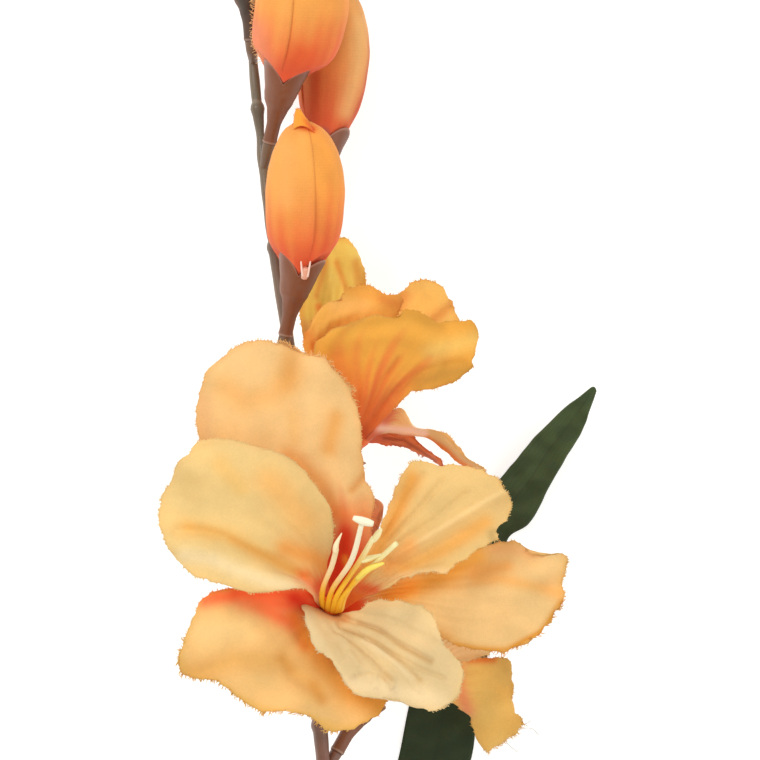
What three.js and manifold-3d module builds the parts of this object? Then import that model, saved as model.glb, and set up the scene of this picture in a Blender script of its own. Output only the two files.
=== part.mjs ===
// A cut gladiolus spray made of moulded plastic and cloth, lying on a surface.
// The stem runs along +Y with its tip towards +Y, +Z is up, and the lengths are in millimetres.
import * as THREE from 'three';
import * as BufferGeometryUtils from 'three/addons/utils/BufferGeometryUtils.js';
import Module from 'manifold-3d';

const wasm = await Module();
wasm.setup();

// Driving dimensions
const CLEARANCE = 0.3;
const PETAL_BLADE = { thickness: 0.7, steps: 12, columns: 4, ripple: 0.7 };
const PETAL_WAVES = 2.5;
const LOWEST_PETAL = 1.3;
const LEAF_BLADE = { thickness: 0.7, steps: 22, columns: 2 };
const BRACT_BLADE = { thickness: 0.9, steps: 6, columns: 2 };
const STEM_SIDES = 8;
const STEM_STEPS = 34;
const TENON_RADIUS = 1.1;
const TENON_LENGTH = 2.6;
const TENON_ROOT = 1.5;
const SOCKET_RADIUS = TENON_RADIUS + CLEARANCE;
const PEG_RADIUS = 1.2;
const PEG_BEND = 3.5;
const SHOULDER_RADIUS = 1.9;
const SLEEVE_RADIUS = 2.3;
const SLEEVE_LENGTH = 6;
const CUP_FLOOR = 14;
const CUP_RADIUS = 3.9;
const CUP_SEGMENTS = 12;
const CUP_WALL = 0.7;
const CUP_VALLEY = 15;
const BUD_RIM = { height: 24, radius: 6.7 };
const BLOOM_RIM = { height: 19, radius: 6.2 };
const LOBES = 3;
const LOBE_DIP = 0.25;
const CUP_ROUNDNESS = Math.cos(Math.PI / CUP_SEGMENTS);
const CUP_SLACK = 0.5;
const WAIST = 1.4;
const BUD_LIFT = 0.7;
const BUD_NECK = 21;
const THROAT_HEIGHT = 23;
const STALK_RADIUS = 1.6;
const OUTER_COLLAR = { height: 15.3, thickness: 3, radius: 3.7, root: 3.3 };
const INNER_COLLAR = { height: 18.6, thickness: 3, radius: 2.8, root: 2.4 };
const COLLAR_HOLE = STALK_RADIUS + CLEARANCE;
const ROOT_SPREAD = 45 * Math.PI / 180;
const FILAMENT_RADIUS = 0.75;
const FILAMENT_SIDES = 6;

// Route of the stem: x, y, z and radius, from the cut end to the tip
const LOWER_STEM = [
  [19, -430, 1.95, 2.1],
  [19, -400, 3.1, 2.1],
  [17, -300, 10.5, 2.1],
  [14, -200, 19, 2.1],
  [10.8, -120, 26.3, 2.1],
  [9, -80, 29.3, 2.1],
];
const SPIKE_STEM = [
  [9, -79.7, 29.3, 2.1],
  [7.7, -60, 30.6, 2.1],
  [6, -39, 31.5, 2.1],
  [2.8, -7.5, 32.5, 2],
  [0, 34.5, 32.5, 1.8],
  [-3.4, 76, 30, 1.7],
  [-7.2, 100, 27.5, 1.6],
  [-11, 130, 23.5, 1.5],
  [-15, 172, 17.5, 1.3],
  [-15.5, 205, 12.5, 1.2],
  [-13.5, 238, 8.2, 1.1],
  [-13, 262, 5.6, 0.9],
];
const SOCKET_DEPTH = 9;
const NODE_RINGS = [
  [-78, 2.6],
  [-38, 2.5],
  [66, 2.1],
  [106, 2],
  [148, 1.8],
  [196, 1.6],
  [228, 1.5],
];

// Buds: the foot of the cup, two points that its axis passes on the way to the tip, and the sizes
const BUDS = {
  bud_front: { stem: [-4, 72, 30.3], foot: [-4.5, 79.5, 36], mouth: [0.1, 100.5, 40.6],
    belly: [1.2, 123, 44.5], tip: [0.9, 147, 44], radius: 12, scale: 1 },
  bud_right: { stem: [-8.2, 107, 26.5], foot: [3.3, 117.6, 18.5], mouth: [7.7, 141, 14.5],
    belly: [10, 165, 13.2], tip: [9, 191, 14], radius: 11.5, scale: 1 },
  bud_upper: { stem: [-11, 130, 23.5], foot: [-9.3, 137.6, 27.5], mouth: [-4.6, 158, 33],
    belly: [0.2, 179, 39.5], tip: [0.5, 206, 43], radius: 14, scale: 1 },
  bud_left: { stem: [-14.2, 162, 19], foot: [-14.9, 168.6, 25], mouth: [-16.6, 190, 28],
    belly: [-21.5, 210, 27.5], tip: [-25, 233, 22], radius: 10.5, scale: 0.9 },
  bud_fifth: { stem: [-15, 209, 12], foot: [-10.5, 215.5, 12.5], mouth: [-5.5, 231, 13.5],
    belly: [-2.6, 248, 12.5], tip: [-1.4, 267, 9], radius: 8, scale: 0.75 },
  bud_sixth: { stem: [-13.4, 240, 8], foot: [-17, 246, 8.3], mouth: [-21, 257, 8.2],
    belly: [-23.5, 268, 7], tip: [-25, 284, 5], radius: 6, scale: 0.58 },
  bud_end: { stem: [-13, 262, 5.6], foot: [-12.9, 265.5, 5.4], mouth: [-12.4, 276, 5.2],
    belly: [-11.8, 285, 5], tip: [-11, 298, 4.2], radius: 4.8, scale: 0.45 },
};

// Petals: rows from throat to rim, each with one edge, the middle and the other edge.
// A petal that other petals hide has a turn about its bloom's axis and its sizes instead.
const BLOOM_FRONT = {
  stem: [3.2, -15, 32.3],
  foot: [5.7, -10.7, 36.3],
  throat: [9.6, -1.5, 57],
  outer: [
    [
      [[0, 12, 61], [6, 17, 61.5], [15.6, 18, 61]],
      [[-17, 29, 64], [0, 33, 65.5], [21.6, 31, 64.5]],
      [[-28.5, 45, 65.5], [-4.5, 48, 67.5], [19, 45, 66.5]],
      [[-31, 58, 65], [-7.5, 63.5, 69], [15.5, 60, 67]],
      [[-24, 72, 64], [-10, 78, 67], [3, 75.5, 66]],
    ],
    [
      [[2, 0, 60.5], [5.4, -7.5, 60], [13, -9.5, 60]],
      [[-10.5, 2, 67.5], [-1, -14, 66.5], [18.5, -17, 67.5]],
      [[-24.5, 2, 73], [-6.5, -19, 72.5], [24, -24, 73]],
      [[-33.5, -6, 76], [-10.5, -25, 76.5], [26.5, -30, 76]],
      [[-34.5, -20, 77], [-13.5, -32, 78], [12, -38.5, 77.5]],
    ],
    [
      [[19.5, 3.4, 60.5], [20.5, 0.5, 60], [22, -3, 60.5]],
      [[31.5, 8.6, 65], [33, 1.5, 65], [33, -5, 66]],
      [[46.5, 13.5, 68], [46.5, 1.8, 68], [44, -10, 69]],
      [[61, 16.5, 69], [61, 2.5, 69], [56, -14.4, 70]],
      [[76, 14, 68], [79, 4, 68], [70, -10, 69]],
    ],
  ],
  inner: [
    [
      [[10, 13, 65], [4.5, 6.5, 64.5], [2.4, 1.5, 66]],
      [[7.2, 28, 72.5], [-4.5, 16.5, 73.5], [-5, 3, 76.5]],
      [[-3, 42.5, 78], [-15, 24, 80.5], [-17.5, 3.4, 83]],
      [[-19, 48, 81], [-26, 27.5, 84], [-29.5, 8, 85.5]],
      [[-34, 44.5, 83], [-42, 29, 86], [-38.4, 15.5, 86.5]],
    ],
    [
      [[14.8, -2.4, 66], [14, -8, 68], [2.6, -5.2, 66.5]],
      [[25.5, 0.6, 75], [22, -13.5, 77], [3.4, -14.4, 75.5]],
      [[35, -0.6, 81], [29, -18, 83], [11.5, -24, 82]],
      [[41.5, -8, 85], [36.5, -22.5, 87], [22, -29, 86]],
      [[47, -16.5, 87], [46.5, -28, 89], [35, -31.5, 88]],
    ],
    [
      [[15.6, 7.5, 66.5], [18, 4.6, 65.5], [21.4, 3.4, 67]],
      [[22.5, 20, 72.5], [28.5, 14, 73], [33, 8.6, 75]],
      [[27.6, 33, 76], [38, 22.5, 77.5], [44.1, 10.8, 79]],
      [[34.5, 41, 78], [48, 28, 80], [51.5, 15.5, 81.5]],
      [[48, 42.3, 78], [60, 35, 79.5], [60.5, 22, 81.5]],
    ],
  ],
};
const BLOOM_SIDE = {
  stem: [0, 26, 32.6],
  foot: [3.2, 31.2, 34.2],
  throat: [17.7, 48.4, 39],
  outer: [
    [
      [[14, 53.5, 47], [20.5, 57.5, 49], [25.5, 55, 46.5]],
      [[10, 63.5, 53], [23.5, 67, 55], [31, 60.5, 51]],
      [[6, 73.5, 57], [27.5, 75.5, 60], [38, 63.6, 55]],
      [[8, 79.5, 59], [31, 81.6, 62], [46.5, 65, 57]],
      [[15, 84, 59], [37, 85.4, 61], [52.6, 76, 58]],
    ],
    [
      [[13.4, 53, 36], [15.5, 57.5, 33], [18.5, 58, 30]],
      [[4.5, 68, 32], [10.5, 70.5, 27], [17, 72, 24]],
      [[0.3, 83, 28], [9, 87, 22], [19, 86, 18]],
      [[0.8, 95, 25], [10, 98, 18], [20, 96, 13]],
      [[4.6, 104.4, 22], [11.6, 109, 16], [18.6, 103, 11]],
    ],
    [
      [[22.5, 48, 43.5], [23.2, 46.8, 38], [22.5, 48, 32.5]],
      [[30, 46.8, 45], [30.5, 45.6, 38.5], [30, 46.6, 31]],
      [[36.5, 44.6, 45], [36.8, 43.2, 38], [36.5, 44.2, 30]],
      [[42.8, 41.6, 44], [43, 40.2, 37], [42.8, 41.4, 29]],
      [[48, 37.5, 41], [48.5, 35.5, 35], [48, 37.3, 28]],
    ],
  ],
  inner: [
    [
      [[14.5, 51.5, 42], [17, 55.5, 43.5], [21.5, 57.5, 43.5]],
      [[6.5, 64.5, 46], [13, 69, 47.5], [22, 70.5, 47]],
      [[1, 75.5, 48], [12, 79.5, 50], [26, 79.5, 50]],
      [[1.2, 82, 49], [13.5, 88, 51], [29.5, 86, 51]],
      [[5, 88, 49], [17.5, 95.4, 50.5], [31, 91, 50.5]],
    ],
    [
      [[21.4, 58, 37.5], [24, 57.5, 36], [27.5, 55.5, 35]],
      [[24, 69, 33], [30, 70.5, 31], [36, 68.4, 30]],
      [[25.5, 81, 28], [35.4, 82.5, 26], [45, 79, 26]],
      [[27, 89.4, 25], [37.5, 91.5, 23], [49, 86, 23]],
      [[29.5, 94, 23], [38.4, 97, 21], [47, 92, 21]],
    ],
    [
      [[24.5, 51.4, 44.5], [25, 50.2, 40], [24.5, 51.4, 35]],
      [[31, 52.4, 47], [31.5, 51, 40.5], [31, 52, 33]],
      [[37.8, 51.8, 46], [38.2, 50.4, 39], [37.8, 51.4, 31]],
      [[45, 48.6, 43], [45.4, 47.2, 36], [45, 48.2, 28]],
      [[52.6, 42, 37], [53.4, 40.2, 31], [52.6, 41.6, 25]],
    ],
  ],
};
const BLOOM_BACK = {
  stem: [7.8, -61, 30.5],
  foot: [11, -46, 28],
  throat: [22.3, -26, 24.5],
  outer: [
    [
      [[25.6, -26.6, 29], [27.2, -28.8, 25.4], [26.6, -30.4, 21.6]],
      [[35.4, -26.8, 29.4], [36.2, -28.8, 25.8], [35.2, -31, 21.5]],
      [[44, -20.5, 30], [43.5, -27.5, 26.5], [41, -31.8, 22.4]],
      [[51, -15.6, 27], [50, -29, 24.5], [47.5, -33, 22]],
      [[59, -15, 24], [58.5, -31, 20], [51, -39, 17]],
      [[64.5, -19.5, 20], [66.2, -36, 15], [57, -45.4, 11]],
    ],
    { turn: -120, reach: 24, halfWidth: 8, rise: 10 },
    { turn: 120, reach: 23, halfWidth: 9, rise: 9 },
  ],
  inner: [
    [
      [[23.4, -21, 30.4], [25.4, -22.4, 30.6], [26.6, -24.2, 30.4]],
      [[32.4, -18.8, 32.5], [34.2, -21.4, 32.2], [35.4, -24.4, 31.4]],
      [[38, -12, 36], [41, -16, 35.5], [43, -21, 34]],
      [[43.5, -4, 38.5], [47, -11, 38], [48.4, -17.5, 36]],
      [[51, -0.5, 38], [54, -8.5, 37.5], [54, -17, 35]],
      [[57.5, -4, 36], [60, -10, 35], [57.5, -15.6, 33]],
    ],
    { turn: 180, reach: 21, halfWidth: 7, rise: 21 },
    { turn: 75, reach: 16, halfWidth: 6, rise: 17 },
  ],
};

// Filaments of the front bloom: the points that each passes after the stalk
const FRONT_FILAMENTS = [
  [[8.6, 6, 67], [11, 13.5, 76], [12.8, 20.5, 84]],
  [[12, 4.5, 68], [16.5, 13.5, 80], [19, 23.5, 91]],
  [[13, 3.6, 67], [19, 12, 77], [23, 20, 86]],
  [[14, 2.6, 66], [20.5, 9.5, 74], [29.6, 18, 84]],
  [[14.6, 0.8, 65], [20, 6, 71], [25.8, 11.4, 78]],
];
const STIGMA = { from: [16, 25, 91.6], to: [22, 23.2, 91.6], radius: 0.9 };
const HIDDEN_FILAMENTS = 5;
const HIDDEN_FILAMENT_LENGTH = 30;
const HIDDEN_FILAMENT_SPREAD = 6;

// Leaves: rows from foot to tip, each with one edge, the midrib and the other edge
const LEAF_RIGHT = {
  stem: [11.2, -127, 25.5],
  rows: [
    [[12.7, -125, 24], [14, -126, 24], [15.2, -127.2, 24]],
    [[16.5, -98, 12], [21, -100, 11.5], [27, -102, 12]],
    [[23.4, -72, 2], [31.5, -74, 1.6], [39.6, -76, 2]],
    [[29.7, -48, 0.35], [40.5, -49, 0.35], [51.3, -50, 0.35]],
    [[33.3, -30.6, 0.35], [43.8, -32, 0.35], [53.5, -35, 0.35]],
    [[39.6, -12, 0.35], [48.6, -13.5, 0.35], [57, -15, 0.35]],
    [[45, 9.5, 0.35], [53, 6, 0.35], [61.5, 4.5, 0.35]],
    [[52.2, 27, 1.4], [58, 22.5, 0.8], [62.7, 18, 1.4]],
    [[59.4, 36.6, 4], [66.5, 34.5, 2.6], [73.8, 30.6, 3.6]],
    [[73, 49, 7], [78, 49.5, 5.8], [83, 46.5, 7]],
    [[87.6, 63.4, 10.5], [88.8, 63.9, 10.4], [89.4, 62.6, 10.5]],
  ],
};
const LEAF_LEFT = {
  stem: [15.4, -240, 15.5],
  rows: [
    [[12.8, -235.4, 14], [11.6, -236.2, 14], [10.4, -237, 14]],
    [[9.5, -212, 8], [4.5, -213, 7.4], [-1, -215, 8]],
    [[3.5, -188, 2.6], [-4.5, -189.5, 2], [-12.5, -191, 2.6]],
    [[-3, -160, 0.6], [-12.5, -161.5, 0.5], [-22, -163, 0.6]],
    [[-9.5, -134, 0.6], [-18.5, -135, 0.5], [-27.5, -136, 0.6]],
    [[-16, -108, 1.6], [-23.5, -108.5, 1], [-31, -109, 1.6]],
    [[-22, -84, 3.4], [-27.5, -84.5, 2.8], [-33, -84.5, 3.4]],
    [[-29.6, -61.6, 6], [-30.6, -61, 6], [-31.6, -61.6, 6]],
  ],
};
const BRACT = {
  rows: [
    [[1.2, 1.5, 33.5], [2.6, 0, 33], [3.6, -1.6, 33.5]],
    [[8.5, 11.5, 43], [12, 9, 42.5], [14.5, 5.5, 43]],
    [[15.5, 22, 50], [19, 20, 49.5], [21.5, 17, 50]],
    [[20.5, 30.5, 53], [23.4, 30, 52.8], [25.8, 27.5, 53]],
  ],
};

// Materials
function plain(color, roughness) {
  return new THREE.MeshStandardMaterial({ color, roughness, metalness: 0 });
}
const stemBrown = () => plain(0x6b4634, 0.45);
const cupBrown = () => plain(0x7d4f3c, 0.4);
const budOrange = () => plain(0xf08a3c, 0.85);
const outerPetal = () => plain(0xf2b46a, 0.85);
const innerPetal = () => plain(0xf6cf86, 0.85);
const filamentCream = () => plain(0xf4e6b0, 0.5);
const leafGreen = () => plain(0x38482c, 0.7);

// Mesh helpers
function vec(point) {
  return new THREE.Vector3(point[0], point[1], point[2]);
}

function meshGeometry(points, triangles) {
  const geometry = new THREE.BufferGeometry();
  const positions = new Float32Array(points.flatMap((p) => [p.x, p.y, p.z]));
  geometry.setAttribute('position', new THREE.BufferAttribute(positions, 3));
  geometry.setIndex(triangles);
  return geometry;
}

function signedVolume(points, triangles) {
  let volume = 0;
  const cross = new THREE.Vector3();
  for (let i = 0; i < triangles.length; i += 3) {
    const [a, b, c] = [points[triangles[i]], points[triangles[i + 1]], points[triangles[i + 2]]];
    volume += a.dot(cross.crossVectors(b, c)) / 6;
  }
  return volume;
}

function outwardGeometry(points, triangles) {
  if (signedVolume(points, triangles) < 0) {
    triangles.reverse();
  }
  return meshGeometry(points, triangles);
}

function toSolid(geometry) {
  const bare = geometry.clone();
  bare.deleteAttribute('normal');
  bare.deleteAttribute('uv');
  const merged = BufferGeometryUtils.mergeVertices(bare, 1e-4);
  return new wasm.Manifold(new wasm.Mesh({
    numProp: 3,
    vertProperties: new Float32Array(merged.attributes.position.array),
    triVerts: new Uint32Array(merged.index.array),
  }));
}

function toGeometry(solid) {
  const mesh = solid.getMesh();
  const geometry = new THREE.BufferGeometry();
  geometry.setAttribute('position', new THREE.BufferAttribute(new Float32Array(mesh.vertProperties), 3));
  geometry.setIndex(Array.from(mesh.triVerts));
  const flat = geometry.toNonIndexed();
  flat.computeVertexNormals();
  return flat;
}

function fuse(geometries) {
  const solids = geometries.map(toSolid);
  return solids.slice(1).reduce((whole, solid) => whole.add(solid), solids[0]);
}

// A closed skin over rings of points, with a fan over each end
function loft(rings) {
  const points = rings.flat();
  const sides = rings[0].length;
  const triangles = [];
  for (let i = 0; i + 1 < rings.length; i += 1) {
    for (let j = 0; j < sides; j += 1) {
      const a = i * sides + j;
      const b = i * sides + (j + 1) % sides;
      triangles.push(a, b, a + sides, b, b + sides, a + sides);
    }
  }
  const last = (rings.length - 1) * sides;
  for (let j = 1; j + 1 < sides; j += 1) {
    triangles.push(0, j + 1, j);
    triangles.push(last, last + j, last + j + 1);
  }
  return outwardGeometry(points, triangles);
}

// Two directions square to an axis, the first as near to +X as it can be
function squareTo(axis) {
  const side = new THREE.Vector3(1, 0, 0).addScaledVector(axis, -axis.x).normalize();
  return [side, new THREE.Vector3().crossVectors(axis, side)];
}

function ring(centre, axis, radius, sides) {
  const [side, up] = squareTo(axis);
  return Array.from({ length: sides }, (unused, i) => {
    const angle = 2 * Math.PI * (i + 0.5) / sides;
    return centre.clone()
      .addScaledVector(side, radius * Math.cos(angle))
      .addScaledVector(up, radius * Math.sin(angle));
  });
}

// A rod that tapers from stop to stop along a smooth curve
function rod(stops, sides, steps) {
  const curve = new THREE.CatmullRomCurve3(stops.map(vec));
  const rings = [];
  for (let i = 0; i <= steps; i += 1) {
    const t = i / steps;
    const place = t * (stops.length - 1);
    const stop = Math.min(Math.floor(place), stops.length - 2);
    const radius = THREE.MathUtils.lerp(stops[stop][3], stops[stop + 1][3], place - stop);
    rings.push(ring(curve.getPoint(t), curve.getTangent(t), radius, sides));
  }
  return loft(rings);
}

// A blade of even thickness over rows of edge, middle and edge points
function blade(rows, { thickness, steps, columns, ripple = 0, phase = 0 }) {
  const rails = [0, 1, 2].map((rail) => new THREE.CatmullRomCurve3(rows.map((row) => vec(row[rail]))));
  const grid = [];
  for (let i = 0; i <= steps; i += 1) {
    const t = i / steps;
    const [left, middle, right] = rails.map((rail) => rail.getPoint(t));
    const line = [];
    for (let j = 0; j <= columns; j += 1) {
      const u = 2 * j / columns - 1;
      const point = left.clone().multiplyScalar(u * (u - 1) / 2)
        .addScaledVector(middle, 1 - u * u)
        .addScaledVector(right, u * (u + 1) / 2);
      point.z += ripple * u * u * t * Math.sin(2 * Math.PI * PETAL_WAVES * t + phase + Math.sign(u));
      point.z = Math.max(point.z, thickness / 2);
      line.push(point);
    }
    grid.push(line);
  }
  return thicken(grid, thickness);
}

function thicken(grid, thickness) {
  const steps = grid.length - 1;
  const columns = grid[0].length - 1;
  const top = [];
  const bottom = [];
  grid.forEach((line, i) => line.forEach((point, j) => {
    const along = grid[Math.min(i + 1, steps)][j].clone().sub(grid[Math.max(i - 1, 0)][j]);
    const across = line[Math.min(j + 1, columns)].clone().sub(line[Math.max(j - 1, 0)]);
    const normal = along.cross(across).normalize();
    top.push(point.clone().addScaledVector(normal, thickness / 2));
    bottom.push(point.clone().addScaledVector(normal, -thickness / 2));
  }));
  const points = top.concat(bottom);
  const under = top.length;
  const width = columns + 1;
  const triangles = [];
  for (let i = 0; i < steps; i += 1) {
    for (let j = 0; j < columns; j += 1) {
      const a = i * width + j;
      const [b, c, d] = [a + 1, a + width, a + width + 1];
      triangles.push(a, b, c, b, d, c);
      triangles.push(under + a, under + c, under + b, under + b, under + c, under + d);
    }
  }
  const across = Array.from({ length: columns }, (unused, j) => j);
  const down = Array.from({ length: steps }, (unused, i) => i);
  const rim = [
    ...across,
    ...down.map((i) => i * width + columns),
    ...across.map((j) => steps * width + columns - j),
    ...down.map((i) => (steps - i) * width),
  ];
  rim.forEach((a, k) => {
    const b = rim[(k + 1) % rim.length];
    triangles.push(a, under + a, b, b, under + a, under + b);
  });
  return outwardGeometry(points, triangles);
}

// A lathed piece stood on its foot, with its axis along a given direction
function stand(geometry, foot, axis) {
  const turn = new THREE.Quaternion().setFromUnitVectors(new THREE.Vector3(0, 1, 0), axis);
  const matrix = new THREE.Matrix4().compose(foot, turn, new THREE.Vector3(1, 1, 1));
  return geometry.clone().applyMatrix4(matrix);
}

function lathe(profile, segments) {
  return new THREE.LatheGeometry(profile.map(([r, h]) => new THREE.Vector2(r, h)), segments);
}

// Inside of a cup of scale 1: its radius at a height above the foot
function insideRadius(rim, height) {
  const share = (height - CUP_FLOOR) / (rim.height - CUP_FLOOR);
  return THREE.MathUtils.lerp(CUP_RADIUS, rim.radius, share);
}

// Cup: a sleeve that fits over a peg, a solid cone, and a rim cut lower between its lobes
function cup(foot, axis, s, rim) {
  const profile = [
    [0, TENON_LENGTH + CLEARANCE],
    [SOCKET_RADIUS, TENON_LENGTH + CLEARANCE],
    [SOCKET_RADIUS, 0],
    [SLEEVE_RADIUS, 0],
    [SLEEVE_RADIUS, SLEEVE_LENGTH * s],
    [(CUP_RADIUS + CUP_WALL) * 0.64 * s + WAIST * (1 - s), CUP_FLOOR * 0.7 * s],
    [CUP_RADIUS * s + CUP_WALL, CUP_FLOOR * s],
    [rim.radius * s + CUP_WALL, rim.height * s],
    [rim.radius * s, rim.height * s],
    [CUP_RADIUS * s, CUP_FLOOR * s + CUP_WALL / 2],
    [0, CUP_FLOOR * s],
  ];
  const geometry = lathe(profile, CUP_SEGMENTS);
  const position = geometry.attributes.position;
  const valley = CUP_VALLEY * s;
  for (let i = 0; i < position.count; i += 1) {
    const [x, y, z] = [position.getX(i), position.getY(i), position.getZ(i)];
    const lobe = LOBE_DIP + (1 - LOBE_DIP) * Math.abs(Math.sin(LOBES * Math.atan2(x, z) / 2));
    if (y > valley) {
      const lowered = valley + (y - valley) * lobe;
      const ratio = insideRadius(rim, lowered / s) / insideRadius(rim, y / s);
      position.setXYZ(i, x * ratio, lowered, z * ratio);
    }
  }
  return stand(geometry, foot, axis);
}

function unit(from, to) {
  return vec(to).sub(vec(from)).normalize();
}

function along(from, axis, distance) {
  return vec(from).addScaledVector(axis, distance);
}

// Peg: a short arm from the stem to a cup, with a thin end that enters its sleeve
function peg(place, axis, scale) {
  const shoulder = along(place.foot, axis, -CLEARANCE);
  const bend = along(place.foot, axis, -PEG_BEND * scale);
  const arm = [
    [...place.stem, PEG_RADIUS],
    [bend.x, bend.y, bend.z, THREE.MathUtils.lerp(PEG_RADIUS, SHOULDER_RADIUS, scale)],
    [shoulder.x, shoulder.y, shoulder.z, SHOULDER_RADIUS],
  ];
  const end = along(place.foot, axis, TENON_LENGTH);
  const back = along(place.foot, axis, -TENON_ROOT);
  const tenon = [ring(back, axis, TENON_RADIUS, 6), ring(end, axis, TENON_RADIUS, 6)];
  return [rod(arm, 6, 4), loft(tenon)];
}

// Bud: wrapped petals, as rings along a bent axis, with a low ridge along each of three overlaps
function bud(spec) {
  const axis = unit(spec.foot, spec.mouth);
  const s = spec.scale;
  const floor = along(spec.foot, axis, CUP_FLOOR * s + BUD_LIFT);
  const neck = along(spec.foot, axis, BUD_NECK * s);
  const curve = new THREE.CatmullRomCurve3([floor, neck, vec(spec.belly), vec(spec.tip)]);
  const inCup = (height) => insideRadius(BUD_RIM, height) * s * CUP_ROUNDNESS - CUP_SLACK;
  const widths = [
    [0, inCup(CUP_FLOOR)],
    [0.33, inCup(BUD_NECK)],
    [0.4, inCup(BUD_RIM.height)],
    [0.43, spec.radius * 0.72],
    [0.46, spec.radius * 0.85],
    [0.53, spec.radius * 0.95],
    [0.66, spec.radius],
    [0.8, spec.radius * 0.84],
    [0.87, spec.radius * 0.66],
    [0.92, spec.radius * 0.42],
    [1, spec.radius * 0.14],
  ];
  const sides = CUP_SEGMENTS;
  const rings = widths.map(([t, radius]) => {
    const centre = curve.getPoint(t);
    const [side, up] = squareTo(curve.getTangent(t));
    return Array.from({ length: sides }, (unused, i) => {
      const angle = 2 * Math.PI * i / sides;
      const ridge = 1 + 0.05 * t * Math.cos(3 * angle + 1.5 * t);
      return centre.clone()
        .addScaledVector(side, radius * ridge * Math.cos(angle))
        .addScaledVector(up, radius * ridge * Math.sin(angle));
    });
  });
  return loft(rings);
}

// Rows of a petal that has only a turn and sizes: it rises with the trumpet, then flares
function plainRows(bloom, axis, petal) {
  const [side, up] = squareTo(axis);
  const turn = THREE.MathUtils.degToRad(petal.turn);
  const outwards = side.multiplyScalar(Math.cos(turn)).addScaledVector(up, Math.sin(turn));
  const sideways = new THREE.Vector3().crossVectors(axis, outwards);
  return [0.2, 0.4, 0.6, 0.8, 1].map((t) => {
    const height = THROAT_HEIGHT + petal.rise * Math.sin(Math.PI * t / 2);
    const middle = along(bloom.foot, axis, height)
      .addScaledVector(outwards, 5 + (petal.reach - 5) * t ** 1.3);
    const half = petal.halfWidth * Math.sin(Math.PI * (0.14 + 0.6 * t));
    return [-1, 0, 1].map((edge) => {
      const point = middle.clone().addScaledVector(sideways, edge * half);
      return [point.x, point.y, Math.max(point.z, LOWEST_PETAL)];
    });
  });
}

// Petal whorl: three blades rooted in the wall of one collar
function whorl(bloom, axis, petals, collar, phase) {
  const centre = along(bloom.foot, axis, collar.height + collar.thickness / 2);
  const profile = [
    [COLLAR_HOLE, 0],
    [collar.radius, 0],
    [collar.radius, collar.thickness],
    [COLLAR_HOLE, collar.thickness],
    [COLLAR_HOLE, 0],
  ];
  const ringPiece = stand(lathe(profile, 16), along(bloom.foot, axis, collar.height), axis);
  const blades = petals.map((petal, i) => {
    const rows = Array.isArray(petal) ? petal : plainRows(bloom, axis, petal);
    const root = rootRow(centre, axis, collar.root, rows[0]);
    return blade([root, ...rows], { ...PETAL_BLADE, phase: phase + i });
  });
  return fuse([ringPiece, ...blades]);
}

function rootRow(centre, axis, radius, row) {
  const outwards = vec(row[1]).sub(centre).projectOnPlane(axis).normalize();
  const sideways = new THREE.Vector3().crossVectors(axis, outwards);
  const hand = Math.sign(sideways.dot(vec(row[2]).sub(vec(row[0]))));
  return [-1, 0, 1].map((side) => {
    const turn = side * ROOT_SPREAD * hand;
    const point = centre.clone()
      .addScaledVector(outwards, radius * Math.cos(turn))
      .addScaledVector(sideways, radius * Math.sin(turn));
    return point.toArray();
  });
}

// Stamens: one stalk that the collars sit on, and filaments that leave its top
function stamens(bloom, axis, paths) {
  const low = along(bloom.foot, axis, CUP_FLOOR + CLEARANCE);
  const high = along(bloom.foot, axis, THROAT_HEIGHT + 1);
  const stalk = loft([ring(low, axis, STALK_RADIUS, 8), ring(high, axis, STALK_RADIUS, 8)]);
  const start = along(bloom.foot, axis, THROAT_HEIGHT - 1.5);
  const filaments = paths.map((path) => {
    const stops = [start.toArray(), ...path].map((point) => [...point, FILAMENT_RADIUS]);
    return rod(stops, FILAMENT_SIDES, 6);
  });
  return [stalk, ...filaments];
}

function fanOfFilaments(bloom, axis) {
  const [side, up] = squareTo(axis);
  return Array.from({ length: HIDDEN_FILAMENTS }, (unused, i) => {
    const angle = 2 * Math.PI * i / HIDDEN_FILAMENTS;
    return [0.45, 1].map((t) => along(bloom.foot, axis, THROAT_HEIGHT + HIDDEN_FILAMENT_LENGTH * t)
      .addScaledVector(side, HIDDEN_FILAMENT_SPREAD * t * Math.cos(angle))
      .addScaledVector(up, HIDDEN_FILAMENT_SPREAD * t * Math.sin(angle))
      .toArray());
  });
}

// Stem: the lower wire with a socket, and the spike that carries every peg
function lowerStem() {
  const [top, below] = [LOWER_STEM.at(-1), LOWER_STEM.at(-2)];
  const axis = unit(below, top);
  const bottom = along(top, axis, -SOCKET_DEPTH);
  const hole = loft([ring(bottom, axis, SOCKET_RADIUS, 8), ring(along(top, axis, 2), axis, SOCKET_RADIUS, 8)]);
  const pegs = [LEAF_RIGHT, LEAF_LEFT].map((leaf) => {
    const end = vec(leaf.rows[0][1]);
    const axisOut = end.clone().sub(vec(leaf.stem)).normalize();
    const stop = end.addScaledVector(axisOut, -CLEARANCE - LEAF_BLADE.thickness / 2);
    return rod([[...leaf.stem, 1.4], [stop.x, stop.y, stop.z, 1.2]], 6, 2);
  });
  return fuse([rod(LOWER_STEM, STEM_SIDES, STEM_STEPS), ...pegs]).subtract(toSolid(hole));
}

function stemCentre(y) {
  const i = SPIKE_STEM.findIndex((stop) => stop[1] >= y);
  const [a, b] = [SPIKE_STEM[i - 1], SPIKE_STEM[i]];
  const t = (y - a[1]) / (b[1] - a[1]);
  return { centre: vec(a).lerp(vec(b), t), axis: unit(a, b) };
}

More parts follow.
